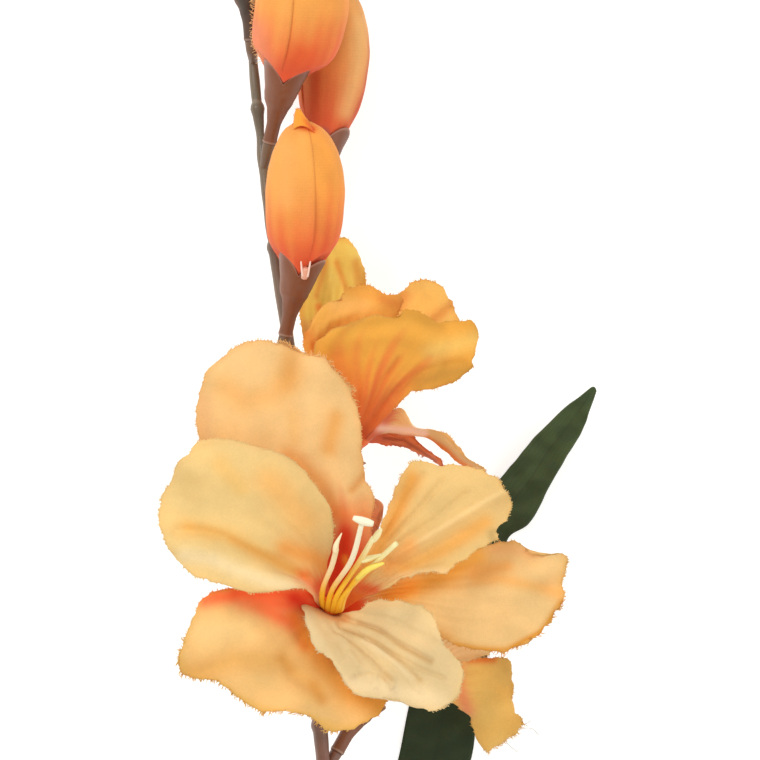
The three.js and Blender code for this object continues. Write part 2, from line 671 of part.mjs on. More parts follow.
function spike() {
  const pieces = [rod(SPIKE_STEM, STEM_SIDES, STEM_STEPS)];
  const first = SPIKE_STEM[0];
  const axis = unit(LOWER_STEM.at(-2), LOWER_STEM.at(-1));
  const tail = along(first, axis, -SOCKET_DEPTH + 1);
  pieces.push(loft([ring(tail, axis, TENON_RADIUS, 6), ring(along(first, axis, 3), axis, TENON_RADIUS, 6)]));
  for (const [y, radius] of NODE_RINGS) {
    const node = stemCentre(y);
    const faces = [-0.6, 0.6].map((d) => ring(node.centre.clone().addScaledVector(node.axis, d),
      node.axis, radius, STEM_SIDES));
    pieces.push(loft(faces));
  }
  for (const place of [...Object.values(BUDS), BLOOM_FRONT, BLOOM_SIDE, BLOOM_BACK]) {
    pieces.push(...peg(place, unit(place.foot, place.mouth ?? place.throat), place.scale ?? 1));
  }
  pieces.push(blade(BRACT.rows, BRACT_BLADE));
  return fuse(pieces);
}

// Assembly
const spray = new THREE.Group();
spray.name = 'gladiolus_spray';

function addPiece(name, geometry, material) {
  const mesh = new THREE.Mesh(geometry, material);
  mesh.name = name;
  spray.add(mesh);
}

function addBloom(name, bloom, paths) {
  const axis = unit(bloom.foot, bloom.throat);
  addPiece(`${name}_cup`, cup(vec(bloom.foot), axis, 1, BLOOM_RIM), cupBrown());
  addPiece(`${name}_outer_petals`, toGeometry(whorl(bloom, axis, bloom.outer, OUTER_COLLAR, 0)), outerPetal());
  addPiece(`${name}_inner_petals`, toGeometry(whorl(bloom, axis, bloom.inner, INNER_COLLAR, 2)), innerPetal());
  addPiece(`${name}_stamens`, toGeometry(fuse(paths)), filamentCream());
}

addPiece('stem_lower', toGeometry(lowerStem()), stemBrown());
addPiece('stem_spike', toGeometry(spike()), stemBrown());
for (const [name, spec] of Object.entries(BUDS)) {
  const axis = unit(spec.foot, spec.mouth);
  addPiece(`${name}_cup`, cup(vec(spec.foot), axis, spec.scale, BUD_RIM), cupBrown());
  addPiece(name, bud(spec), budOrange());
}
const frontAxis = unit(BLOOM_FRONT.foot, BLOOM_FRONT.throat);
const stigma = rod([[...STIGMA.from, STIGMA.radius], [...STIGMA.to, STIGMA.radius]], FILAMENT_SIDES, 1);
addBloom('bloom_front', BLOOM_FRONT, [...stamens(BLOOM_FRONT, frontAxis, FRONT_FILAMENTS), stigma]);
for (const [name, bloom] of [['bloom_side', BLOOM_SIDE], ['bloom_back', BLOOM_BACK]]) {
  const axis = unit(bloom.foot, bloom.throat);
  addBloom(name, bloom, stamens(bloom, axis, fanOfFilaments(bloom, axis)));
}
addPiece('leaf_right', blade(LEAF_RIGHT.rows, LEAF_BLADE), leafGreen());
addPiece('leaf_left', blade(LEAF_LEFT.rows, LEAF_BLADE), leafGreen());

// The origin is the middle of the spray's box, on the surface that it lies on
const box = new THREE.Box3().setFromObject(spray);
const middle = box.getCenter(new THREE.Vector3());
spray.position.set(-middle.x, -middle.y, -box.min.z);

export default spray;
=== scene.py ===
import math
import random

import bpy
import numpy as np
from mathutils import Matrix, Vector


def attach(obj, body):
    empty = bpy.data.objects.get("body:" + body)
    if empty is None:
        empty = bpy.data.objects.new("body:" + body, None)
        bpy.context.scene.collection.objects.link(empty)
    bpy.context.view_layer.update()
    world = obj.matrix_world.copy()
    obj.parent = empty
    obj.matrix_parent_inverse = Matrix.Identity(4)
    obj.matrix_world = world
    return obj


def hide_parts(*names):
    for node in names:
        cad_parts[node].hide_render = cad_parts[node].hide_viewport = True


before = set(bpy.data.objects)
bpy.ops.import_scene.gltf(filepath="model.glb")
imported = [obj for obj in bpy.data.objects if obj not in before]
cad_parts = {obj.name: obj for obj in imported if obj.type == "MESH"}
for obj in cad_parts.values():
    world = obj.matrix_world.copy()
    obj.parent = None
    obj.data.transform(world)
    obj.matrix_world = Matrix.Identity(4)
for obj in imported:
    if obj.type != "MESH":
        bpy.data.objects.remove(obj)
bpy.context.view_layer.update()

# Lengths are in millimetres up to make_object, which turns them into metres in the row's frame.
MM = 0.001
SHIFT = np.array([-23.738, 66.003, 0.0])
VIEW_PIXELS = 760
VIEW_SCALE = 0.3
VIEW_ZERO = (300.0, 600.0)

# Cloth
CLOTH = 0.3
LEAF_CLOTH = 0.4
BRACT_THICKNESS = 0.9
THREAD_PITCH = 0.65
LEAF_PITCH = 0.8
FLOOR_GAP = 0.35
RELIEF = 0.9
EDGE_FADE = 6
RIM_WIDTH = 1.2
PETAL_GRID = (76, 60)
LEAF_GRID = (150, 20)
WRAP_GRID = (80, 40)
EVEN_ROUNDS = 400
SMOOTH_ROUNDS = 40
RIPPLE_WAVES = 6
CUT_ENDS = {"bloom_front": 260, "bloom_side": 110, "bloom_back": 200}
CUT_END_LENGTH = 0.75
CUT_END_RADII = (0.12, 0.11, 0.08)

# Route of the stem: x, y, z and radius, as in the CAD
LOWER_STEM = """19,-430,1.95,2.1 19,-400,3.1,2.1 17,-300,10.5,2.1 14,-200,19,2.1 10.8,-120,26.3,2.1
    9,-80,29.3,2.1"""
SPIKE_STEM = """9,-79.7,29.3,2.1 7.7,-60,30.6,2.1 6,-39,31.5,2.1 2.8,-7.5,32.5,2 0,34.5,32.5,1.8
    -3.4,76,30,1.7 -7.2,100,27.5,1.6 -11,130,23.5,1.5 -15,172,17.5,1.3 -15.5,205,12.5,1.2
    -13.5,238,8.2,1.1 -13,262,5.6,0.9"""
LOWER_RINGS = (-372, -262, -150)
SPIKE_RINGS = (-78, -38, 66, 106, 148, 196, 228)
STEM_TONES = ("#7a5242", "#70604a")
LEAF_PEGS = ("11.2,-127,25.5 13.8,-126.1,24.1", "15.4,-240,15.5 11.9,-236.5,14.1")

# Cups: heights and radii from the foot, for a cup of scale 1
SLEEVE = 2.3
CUP_FLOOR = 14
CUP_RADIUS = 3.9
CUP_VALLEY = 16.5
CUP_WALL = 0.5
BUD_RIM = (25.8, 7.1)
BLOOM_RIM = (19, 6.2)
LOBE_DIP = 0.34
CUP_TINT = "#7e482c"
THROAT_HEIGHT = 23
LOWEST_PETAL = 1.3
ROOTS = {"outer": (16.8, 3.3), "inner": (20.1, 2.4)}
ROOT_SPREAD = math.radians(45)

# In the tables a point is written x,y or x,y,z, and a slash parts one row or one line from the next.
# Blooms: where they leave the stem, their feet and their throats
BLOOMS = {
    "bloom_front": "3.2,-15,32.3 5.7,-10.7,36.3 9.6,-1.5,57",
    "bloom_side": "0,26,32.6 3.2,31.2,34.2 17.7,48.4,39",
    "bloom_back": "7.8,-61,30.5 11,-46,28 22.3,-26,24.5",
}

# Buds: the CAD's points at stem, foot, mouth, belly and tip, its seam's turn in degrees,
# and the colours of foot, tip and right side
# In the buds' tint lines, the red mark under the front bud's tip flap and the dark marks on the right bud
# beside the upper bud are painted shadow, and the pale band on the front bud is a painted highlight on a
# fold.
BUDS = {}
BUDS["bud_front"] = dict(
    route="-4,72,30.3 -4.5,79.5,36 0.1,100.5,40.6 1.2,123,44.5 0.9,147,44",
    radius=12, scale=1, seam=12, tones="#ee6036 #faaa50 #faa446",
    tints_and_painted_shading="""302,127 313,129 3.5 #ee5c12 0.95 / 288,150 286,200 12 #fcb468 0.5""")
BUDS["bud_right"] = dict(
    route="-8.2,107,26.5 3.3,117.6,18.5 7.7,141,14.5 10,165,13.2 9,191,14",
    radius=10.9, scale=1, seam=62, slim=0.92, tones="#e26038 #ec9c50 #f4ac62",
    tints_and_painted_shading="""315,74 312,118 7 #ce4a24 0.7 / 341,20 333,54 8 #ce7c3e 0.7 /
    360,20 358,66 346,110 9 #f8be78 0.7 / 370,20 370,56 364,90 352,120 2.4 #ce4622 0.8 /
    324,131 328,137 5 #8c5a56 0.85""")
BUDS["bud_upper"] = dict(
    route="-11,130,23.5 -9.3,137.6,27.5 -4.6,158,33 0.2,179,39.5 0.5,206,43",
    radius=14, scale=1, seam=-15, tones="#ec5c32 #faaa54 #f49848",
    tints_and_painted_shading="""256,30 260,58 13 #fa9268 0.8 / 302,54 292,72 13 #e45428 0.75 / 296,4 336,4 16 #f8a850 0.7""")
BUDS["bud_left"] = dict(
    route="-14.2,162,19 -14.9,168.6,25 -16.6,190,28 -21.5,210,27.5 -25,233,22",
    radius=10.5, scale=0.9, seam=20, tones="#f06236 #faa64c #f69842", cup="#42342a")
BUDS["bud_fifth"] = dict(
    route="-15,209,12 -10.5,215.5,12.5 -5.5,231,13.5 -2.6,248,12.5 -1.4,267,9",
    radius=8, scale=0.75, seam=-10, tones="#ec6034 #f69e48 #f0923e")
BUDS["bud_sixth"] = dict(
    route="-13.4,240,8 -17,246,8.3 -21,257,8.2 -23.5,268,7 -25,284,5",
    radius=6, scale=0.58, seam=15, tones="#e26032 #ee9646 #e88a3c")
BUDS["bud_end"] = dict(
    route="-13,262,5.6 -12.9,265.5,5.4 -12.4,276,5.2 -11.8,285,5 -11,298,4.2",
    radius=4.8, scale=0.45, seam=0, tones="#ce6034 #e29248 #d88640")

# Petals: rows run from throat to rim, each with one edge, the middle and the other edge. The edge, the
# creases, tints, frayed parts and threads are lines of the view, in its pixels. After its points a crease
# has a width and a rise, a tint a width, a colour and a strength, a frayed part a width, a count and the
# longest end, and a thread its height. Some tints are the cloth's own colours, such as the red of the
# throat; many are painted shade in creases, dents, pleats and under overlapping petals, and some are painted
# highlights on ridges, lips and bulges. The tones are those of body, heart and rim, and the hidden petals
# have a turn and sizes.
HIDDEN_OUTER = dict(whorl="outer", tones="#f0b462 #e4602c #f0a854", reach=0.5)
HIDDEN_INNER = dict(whorl="inner", tones="#f2be70 #e66e38 #f0b462", reach=0.5)
PETALS = {}
PETALS["petal_front_up"] = dict(
    whorl="outer", cut=(0.048, 0.085), tones="#f7d190 #f04a1a #f7c47c", reach=0.27,
    rows="""0,12,61 6,17,61.5 15.6,18,61 / -17,29,64 0,33,65.5 21.6,31,64.5 /
    -28.5,45,65.5 -4.5,48,67.5 19,45,66.5 / -31,58,65 -7.5,63.5,69 15.5,60,67 /
    -24,72,64 -10,78,67 3,75.5,66""",
    edge="""199,440 197,412 200,393 209,375 220,359 230,350 241,344 262,339 281,345 303,352 322,362
    332,369 342,378 350,388 354,399 358,410 361,424 362,454 366,481 372,490 375,499 372,518 372,540
    362,565""",
    creases="""222,386 246,404 270,398 290,376 14 -0.9 / 337,418 328,450 8 -0.8 /
    294,410 296,440 8 -0.9 / 312,400 312,450 7 0.8 / 352,490 364,476 4 -0.7 / 346,470 356,520 6 0.8 /
    290,456 320,482 334,512 10 -1 / 215,380 215,430 12 0.8""",
    # These marks are painted shade in the dents and creases and along the edge where the left petal lies over
    # this one; the red near the throat is the cloth's own.
    tints_and_painted_shading="""226,388 246,402 272,396 290,376 13 #fac06a 0.5 / 291,358 288,384 12 #f6b258 0.6 /
    336,418 329,448 9 #f2b054 0.7 / 293,415 295,440 7 #f8c470 0.4 /
    290,456 320,482 336,512 9 #e6a04e 0.7 / 352,490 364,476 4 #f0a854 0.7 /
    354,505 366,502 370,518 8 #f8b876 0.6 / 336,514 364,520 11 #f8924a 0.7 /
    346,534 342,575 12 #e63c16 0.95 / 345,558 349,567 3.6 #f8a038 0.9 / 205,400 205,440 10 #f4c082 0.6""",
    frayed="""290,346 330,368 352,392 8 330 2""")
PETALS["petal_front_lower_left"] = dict(
    whorl="outer", cut=(0.066, 0.046), tones="#f5ca82 #f2541c #eebc5c", reach=0.2,
    rows="""2,0,60.5 5.4,-7.5,60 13,-9.5,60 / -10.5,2,67.5 -1,-14,66.5 18.5,-17,67.5 /
    -24.5,2,73 -6.5,-19,72.5 24,-24,73 / -33.5,-6,76 -10.5,-25,76.5 26.5,-30,76 /
    -34.5,-20,77 -13.5,-32,78 12,-38.5,77.5""",
    edge="""318,592 305,585 285,580 262,583 243,590 230,587 213,591 204,597 200,602 197,611 188,630
    181,649 179,659 181,669 186,674 195,677 213,678 220,680 231,689 243,699 257,707 263,710 286,709
    306,712 313,716 326,728 333,730 341,728 350,729 364,721 381,712 386,700""",
    creases="""190,676 236,660 284,662 302,674 320,692 11 -1.8 / 230,628 262,634 22 2 /
    300,690 330,712 12 0.8 / 258,600 292,618 306,640 8 -1""",
    # These marks are painted shade in the low groove, and a painted highlight on the bulge above it; the red
    # and orange lines near the throat are the cloth's own.
    tints_and_painted_shading="""206,600 220,596 240,596 264,601 292,606 8 #ff7e4a 0.92 /
    236,592 270,592 306,597 8 #fe6834 0.9 / 246,604 272,612 292,622 9 #ff8a52 0.85 /
    294,598 316,612 8 #ec3216 0.9 / 294,616 302,632 306,644 7 #fc8a34 0.8 /
    310,636 326,664 350,690 384,706 16 #eea63e 0.85 / 190,674 236,658 284,660 318,690 11 #ecb864 0.7 /
    282,658 290,668 6 #e2a24c 0.6 / 314,684 322,698 6 #e69e44 0.6 / 206,630 244,624 17 #fede9a 0.75""",
    frayed="""184,640 181,668 220,680 258,706 330,728 8 240 1.6""")
PETALS["petal_front_right"] = dict(
    whorl="outer", cut=(0.034, 0.074), tones="#f5d190 #fa6226 #eebe6e", reach=0.13,
    rows="""19.5,3.4,60.5 20.5,0.5,60 22,-3,60.5 / 31.5,8.6,65 33,1.5,65 33,-5,66 /
    46.5,13.5,68 46.5,1.8,68 44,-10,69 / 61,16.5,69 61,2.5,69 56,-14.4,70 / 76,14,68 79,4,68 70,-10,69""",
    edge="""484,546 497,542 514,540 521,543 530,554 561,553 568,558 566,566 563,576 562,586 564,592
    563,600 559,606 554,611 551,621 544,626 541,632 532,637 526,643 514,646 505,651 489,650 475,648
    463,646 452,643 441,636 430,628""",
    creases="""400,584 450,574 505,572 562,588 12 -0.3 / 410,600 470,590 540,600 9 0.9 /
    440,620 490,622 10 -0.4""",
    # These marks include painted shade, kept warm, along the crease below the upper right petal; the orange
    # rim is the cloth's own.
    tints_and_painted_shading="""390,596 420,584 450,572 476,556 13 #fcc054 0.9 / 384,598 410,588 8 #feb248 0.9 /
    494,548 526,550 7 #f6be7c 0.6 / 474,570 506,566 7 #fab85e 0.7 /
    476,578 500,578 560,592 6 #fcc26c 0.7 / 562,600 541,630 505,650 476,648 456,644 3 #e8a030 0.9""",
    frayed="""558,606 540,632 505,649 8 100 1.4""")
PETALS["petal_front_left"] = dict(
    whorl="inner", cut=(0.044, 0.072), tones="#f4d692 #f66022 #f6d28c", reach=0.15,
    rows="""10,13,65 4.5,6.5,64.5 2.4,1.5,66 / 7.2,28,72.5 -4.5,16.5,73.5 -5,3,76.5 /
    -3,42.5,78 -15,24,80.5 -17.5,3.4,83 / -19,48,81 -26,27.5,84 -29.5,8,85.5 /
    -34,44.5,83 -42,29,86 -38.4,15.5,86.5""",
    edge="""326,565 331,550 334,526 332,515 329,504 318,488 303,468 296,461 286,455 264,447 243,441
    222,438 202,440 194,444 190,453 182,459 177,465 171,483 165,492 162,502 160,515 161,526 169,547
    185,566 197,575 210,579 234,586 249,592 279,590 303,589 314,594 315,601""",
    creases="""180,530 205,530 225,535 248,547 270,558 290,570 306,577 6 -1.7 /
    182,548 205,550 235,560 262,573 300,586 8 1.6 / 222,464 242,488 10 -0.9 / 250,500 300,552 6 0.5 /
    270,480 306,530 9 0.6 / 196,512 228,518 252,534 8 -0.6""",
    # These marks are painted shade along the groove above the lower lip and in the creases, and a painted
    # highlight on the lip; the orange and red near the throat are the cloth's own.
    tints_and_painted_shading="""190,526 228,534 248,545 288,567 304,575 8 #f2c268 0.75 /
    186,554 212,558 240,570 268,580 300,587 316,598 8 #ffeab8 1 / 222,464 242,488 9 #f4c86e 0.5 /
    270,480 305,520 16 #fac672 0.7 / 232,538 270,558 306,577 4 #eeb45c 0.6 /
    286,548 312,556 326,566 11 #f6ac4c 0.8 / 304,576 318,592 8 #f87832 0.6 /
    300,583 317,600 4 #fad498 0.9""")
PETALS["petal_front_low"] = dict(
    whorl="inner", cut=(0.036, 0.058), tones="#eed39d #f2be78 #f2d496", reach=0.1,
    rows="""14.8,-2.4,66 14,-8,68 2.6,-5.2,66.5 / 25.5,0.6,75 22,-13.5,77 3.4,-14.4,75.5 /
    35,-0.6,81 29,-18,83 11.5,-24,82 / 41.5,-8,85 36.5,-22.5,87 22,-29,86 /
    47,-16.5,87 46.5,-28,89 35,-31.5,88""",
    edge="""360,609 368,602 378,599 399,600 412,602 422,605 429,610 435,618 438,629 444,644 451,650
    461,663 463,669 462,680 459,690 454,697 441,707 430,708 420,705 405,699 385,697 363,695 355,692
    348,685 336,665 331,658 318,649 313,641 307,623 302,605""",
    creases="""345,618 375,626 402,643 432,658 2.4 -1 /
    340,624 366,635 392,652 418,666 444,676 2.4 -1.1 / 336,628 358,643 378,662 392,686 2.6 -1 /
    352,612 386,616 416,630 444,644 2.6 -0.7 / 330,630 344,652 354,674 4 -0.6 /
    372,642 398,664 420,690 2.4 0.9 / 355,672 375,668 395,682 2.6 -0.8 /
    350,652 359,664 355,678 2.2 0.7 / 370,656 379,670 375,686 2.2 0.7 / 388,664 396,678 394,690 2.2 0.6""",
    # These marks are painted shade in the pleat grooves that fan from the throat, and painted highlights on a
    # ridge and on the crumpled lower part.
    tints_and_painted_shading="""360,622 385,632 402,645 430,660 3 #d6a868 0.6 /
    345,630 370,638 385,648 400,660 420,678 3 #d6ac6c 0.6 /
    352,640 365,655 380,668 392,676 3 #deba80 0.5 / 365,640 392,658 412,676 3 #fae4b6 0.6 /
    365,620 400,630 430,645 4 #f6d6a0 0.5 / 303,606 316,640 340,676 9 #f0daa8 0.8 /
    352,604 400,602 5 #f8d296 0.6 / 350,682 400,690 440,697 10 #fce6ba 0.6""")
PETALS["petal_front_upper_right"] = dict(
    whorl="inner", cut=(0.03, 0.071), tones="#f2d08b #f4822e #f6ce82", reach=0.17,
    rows="""15.6,7.5,66.5 18,4.6,65.5 21.4,3.4,67 / 22.5,20,72.5 28.5,14,73 33,8.6,75 /
    27.6,33,76 38,22.5,77.5 44.1,10.8,79 / 34.5,41,78 48,28,80 51.5,15.5,81.5 /
    48,42.3,78 60,35,79.5 60.5,22,81.5""",
    edge="""352,572 362,557 372,544 378,533 386,511 395,488 401,477 405,470 411,462 418,460 443,465
    452,463 482,470 490,475 498,479 502,489 507,492 511,500 511,506 506,520 500,524 495,528 497,539
    488,543 473,550 466,557 452,567 445,572 433,571 409,572 390,586 378,592 362,597""",
    creases="""394,556 440,529 482,502 508,489 5 1.7 / 404,566 444,546 480,522 506,506 8 -1.3 /
    384,536 404,502 424,474 3 -1 / 390,540 418,508 442,480 3 -1 / 396,545 430,521 466,492 3 -0.9 /
    374,582 410,570 444,566 4 -0.9 / 388,520 404,484 4 0.5""",
    # These marks are a painted highlight on the fold ridge and painted shade in the crease below it; the
    # orange and red at the root are the cloth's own.
    tints_and_painted_shading="""362,572 380,546 400,505 412,478 9 #f2aa42 0.8 / 404,568 444,548 484,522 9 #f8bc5e 0.85 /
    396,554 440,528 484,501 509,488 3 #ffe0a0 0.6 / 376,582 412,573 446,570 4 #f8d89c 0.85 /
    362,586 376,590 6 #ee5428 0.7 / 388,566 410,546 9 #ffb65a 0.7 / 491,532 493,541 4 #d6b270 0.9""")
PETALS["petal_side_front"] = dict(
    whorl="outer", cut=(0.042, 0.055), tones="#f6b84c #f27e42 #ecac46", reach=0.62,
    rows="""14,53.5,47 20.5,57.5,49 25.5,55,46.5 / 10,63.5,53 23.5,67,55 31,60.5,51 /
    6,73.5,57 27.5,75.5,60 38,63.6,55 / 8,79.5,59 31,81.6,62 46.5,65,57 / 15,84,59 37,85.4,61 52.6,76,58""",
    edge="""315,343 332,332 343,327 353,321 368,318 383,321 397,316 405,310 413,310 422,313 438,322
    470,320 475,325 478,333 475,355 472,362 474,367 460,378 452,384 438,389 417,390 409,393 403,400""",
    creases="""398,396 424,373 450,364 464,364 5 -1.5 / 368,424 392,392 430,356 3.4 -0.8 /
    374,426 400,398 440,368 3 0.6 / 364,416 378,386 398,360 3.4 -0.7 /
    358,408 360,380 366,356 3.4 -0.6 / 318,352 350,338 404,334 440,344 9 1.4""",
    # The first mark is a painted highlight in the wide band above the folded lower flap.
    tints_and_painted_shading="""432,352 474,340 10 #f8d070 0.85 / 418,382 446,372 474,372 9 #d89e44 0.85 /
    330,346 350,326 408,314 440,326 7 #da9c3c 0.6 / 368,424 392,392 430,358 3.4 #e2763a 0.35 /
    364,416 378,386 398,360 3.4 #e6803c 0.3 / 330,372 340,392 9 #ee8236 0.6 /
    362,430 370,440 7 #ce4e2c 0.7""")
PETALS["petal_side_upright"] = dict(
    whorl="outer", cut=(0.024, 0.068), tones="#ffe67a #ffb054 #ffcc62", reach=0.4,
    rows="""13.4,53,36 15.5,57.5,33 18.5,58,30 / 4.5,68,31 10.5,70.5,29.5 17,72,28 /
    0.3,83,27 9,87,25.5 19,86,23 / 0.8,95,23 10,98,21 20,96,18 / 4.6,104.4,19 11.6,109,17 18.6,103,14""",
    edge="""304,343 302,332 299,316 300,300 303,276 312,256 325,243 337,237 344,237 350,241 355,246
    358,253 358,263 364,272 366,288""",
    creases="""336,262 350,300 4 -0.6 / 326,250 330,300 4 0.6 / 318,300 322,330 3.4 -0.8""",
    tints_and_painted_shading="""336,262 348,296 3 #faa848 0.5 / 306,326 312,346 6 #f8c476 0.8 /
    318,306 323,330 3.4 #fa963e 0.7 / 356,262 362,300 5 #f4a642 0.6 / 326,262 316,296 3 #fab050 0.5""")
PETALS["petal_side_under"] = dict(
    whorl="outer", cut=(0.014, 0.034), tones="#f08e52 #d85c36 #e0763a", reach=0.4,
    rows="""24.6,52.5,34.5 23.1,49.5,30 22.2,47.1,25 / 30.6,51,34.5 29.4,48.3,30 28.8,45.9,24 /
    34.5,48.6,34 33.6,46.8,30 33,45,24 / 38.4,45,33 37.8,44.1,29 37.2,42.9,24 /
    43.5,41.4,31 42.9,40.8,28 42.3,40.5,24""",
    tints_and_painted_shading="""384,438 404,440 420,450 436,461 2.2 #b04a24 0.75 / 392,444 410,447 2 #ba542c 0.6""",
    frayed="""415,452 432,460 5 40 1.4""")
PETALS["petal_side_middle"] = dict(
    whorl="inner", cut=(0.028, 0.053), tones="#f6bc58 #f28c3e #eea848", reach=0.5,
    rows="""14.5,51.5,42 17,55.5,43.5 21.5,57.5,43.5 / 6.5,64.5,46 13,69,47.5 22,70.5,47 /
    1,75.5,48 12,79.5,50 26,79.5,50 / 1.2,82,49 13.5,88,51 29.5,86,51 /
    5,88,49 17.5,95.4,50.5 31,91,50.5""",
    edge="""303,335 313,317 322,309 335,300 340,294 348,288 360,285 370,285 377,289 387,296 399,294""",
    creases="""312,342 330,322 352,312 5 0.9 / 340,296 380,300 7 -0.8 / 306,330 316,350 5 -0.9""",
    tints_and_painted_shading="""304,330 318,348 326,360 8 #f0923e 0.7 / 384,300 400,304 7 #ec9644 0.7 /
    336,306 364,306 9 #fbc46e 0.6""")
PETALS["petal_side_far"] = dict(
    whorl="inner", cut=(0.022, 0.059), tones="#faca6a #f6a04a #f2b454", reach=0.5,
    rows="""21.4,58,37.5 24,57.5,36 27.5,55.5,35 / 24,69,33 30,70.5,31 36,68.4,30 /
    25.5,81,28 35.4,82.5,26 45,79,26 / 27,89.4,25 37.5,91.5,23 49,86,23 / 29.5,94,23 38.4,97,21 47,92,21""",
    edge="""400,293 412,282 417,279 425,279 433,281 440,288 444,296 450,298 455,305 460,318""",
    creases="""432,322 452,304 4 -1 / 408,306 424,290 7 0.8""",
    tints_and_painted_shading="""430,322 450,306 6 #e89c48 0.7 / 398,306 404,296 7 #ee9642 0.6""")
PETALS["petal_side_low"] = dict(
    whorl="inner", cut=(0.017, 0.044), tones="#f4ce8e #e87850 #eeb86a", reach=0.1,
    rows="""30,57.6,46 27.6,53.6,42 25.2,50.1,37 / 34.2,52.2,47 33.3,50.8,41 32.4,49.2,35 /
    39.9,51.3,46 39.3,49.8,40 38.4,48,33 / 45.9,46.4,43 45.2,45.4,37 44.2,44.4,30 /
    50.6,41.6,38 50,40.8,33 49.3,40.3,28 / 55.6,38.2,34 55,37.9,30 54.3,37.6,26""",
    tints_and_painted_shading="""404,404 414,421 9 #ffdc9c 0.95 / 380,428 395,429 411,430 425,433 4 #ffdeca 0.95 /
    372,436 390,436 411,437 424,440 2.6 #de683e 0.9 / 428,438 446,449 458,461 470,468 3 #f49236 0.9""",
    frayed="""370,430 388,440 410,440 8 50 1.2""")
PETALS["petal_back_right"] = dict(
    whorl="outer", cut=(0.027, 0.048), tones="#f2c66c #f07c46 #f2c46a", reach=0.4,
    rows="""25.6,-26.6,29 27.2,-28.8,25.4 26.6,-30.4,21.6 /
    35.4,-26.8,29.4 36.2,-28.8,25.8 35.2,-31,21.5 / 44,-20.5,30 43.5,-27.5,26.5 41,-31.8,22.4 /
    51,-15.6,27 50,-29,24.5 47.5,-33,22 / 59,-15,24 58.5,-31,20 51,-39,17 /
    64.5,-19.5,20 66.2,-36,15 57,-45.4,11""",
    edge="""466,659 480,659 500,658 508,660 511,665 512,671 511,676 515,686 514,692 511,699 511,708
    514,713 520,719 523,726 520,731 519,736 508,741 500,748 492,750 489,755 484,745 475,735 469,718
    461,711 455,700""",
    creases="""470,664 500,690 8 -1 / 492,660 516,700 6 0.8""",
    tints_and_painted_shading="""470,661 495,661 4 #ec7a2c 0.85 / 456,664 459,688 468,712 8 #f08e64 0.75 /
    504,664 518,700 7 #d8a24c 0.6""",
    frayed="""512,704 520,730 505,746 489,754 8 80 1.4""",
    threads="""521,727 526,727 529,729 14 / 525,727 529,725 532,723 14 / 521,731 533,731 540,738 15 /
    506,743 510,748 519,755 12""")
PETALS["petal_back_middle"] = dict(
    whorl="inner", cut=(0.018, 0.046), tones="#f8d096 #e8965c #eabe7e", reach=0.3,
    rows="""23.4,-21,30.4 25.4,-22.4,30.6 26.6,-24.2,30.4 /
    32.4,-18.8,32.5 34.2,-21.4,32.2 35.4,-24.4,31.4 / 38,-12,36 41,-16,35.5 43,-21,34 /
    43.5,-4,38.5 47,-11,38 48.4,-17.5,36 / 51,-0.5,38 54,-8.5,37.5 54,-17,35 /
    57.5,-4,36 60,-10,35 57.5,-15.6,33""",
    edge="""445,612 470,602 488,612 490,636 488,650 481,657 470,660 452,664""")
PETALS["petal_back_lower"] = dict(HIDDEN_OUTER, cut=(0.018, 0.03), turn=-120, spread=24, half=8, rise=10)
PETALS["petal_back_under"] = dict(HIDDEN_OUTER, cut=(0.019, 0.029), turn=120, spread=23, half=9, rise=9)
PETALS["petal_back_far"] = dict(HIDDEN_INNER, cut=(0.017, 0.033), turn=180, spread=21, half=7, rise=21)
PETALS["petal_back_near"] = dict(HIDDEN_INNER, cut=(0.015, 0.027), turn=75, spread=16, half=6, rise=17)

# Leaves: rows from foot to tip
LEAVES = {}
LEAVES["leaf_right"] = dict(
    cut=(0.022, 0.236),
    rows="""12.7,-125,24 14,-126,24 15.2,-127.2,24 / 16.5,-98,12 21,-100,11.5 27,-102,12 /
    23.4,-72,2 31.5,-74,1.6 39.6,-76,2 / 29.7,-48,0.35 40.5,-49,0.35 51.3,-50,0.35 /
    33.3,-30.6,0.35 43.8,-32,0.35 53.5,-35,0.35 / 39.6,-12,0.35 48.6,-13.5,0.35 57,-15,0.35 /
    45,9.5,0.35 53,6,0.35 61.5,4.5,0.35 / 52.2,27,1.4 58,22.5,0.8 62.7,18,1.4 /
    56,31.4,2.6 62.5,27.5,1.8 69,22.4,2.6 / 62.5,38.6,4.4 69,35.4,3.2 75.4,34,4.4 /
    69.4,46.9,6 74.6,44,4.8 79.5,41,6 / 76.5,54.2,7.8 80.4,51.6,6.8 84,48.6,7.8 /
    82.5,59.6,9.2 85,57.8,8.6 87.2,55.6,9.2 / 87.6,63.4,10.5 88.8,63.9,10.4 89.4,62.6,10.5""")
LEAVES["leaf_left"] = dict(
    cut=(0.02, 0.192),
    rows="""12.8,-235.4,14 11.6,-236.2,14 10.4,-237,14 / 9.5,-212,8 4.5,-213,7.4 -1,-215,8 /
    3.5,-188,2.6 -4.5,-189.5,2 -12.5,-191,2.6 / -3,-160,0.6 -12.5,-161.5,0.5 -22,-163,0.6 /
    -9.5,-134,0.6 -18.5,-135,0.5 -27.5,-136,0.6 / -16,-108,1.6 -23.5,-108.5,1 -31,-109,1.6 /
    -22,-84,3.4 -27.5,-84.5,2.8 -33,-84.5,3.4 / -29.6,-61.6,6 -30.6,-61,6 -31.6,-61.6,6""")
BRACT = """1.2,1.5,33.5 2.6,0,33 3.6,-1.6,33.5 / 8.5,11.5,43 12,9,42.5 14.5,5.5,43 /
    15.5,22,50 19,20,49.5 21.5,17,50 / 20.5,30.5,53 23.4,30,52.8 25.8,27.5,53"""
TIP_FLAP = """-2,141,50 1,142.2,51.6 4.6,139.8,50.4 / -1.8,143.6,49 0.3,144.6,50.2 2.8,142.8,49.8 /
    -1.5,146.6,48.4 -0.4,147.2,49 0.8,146,48.8"""

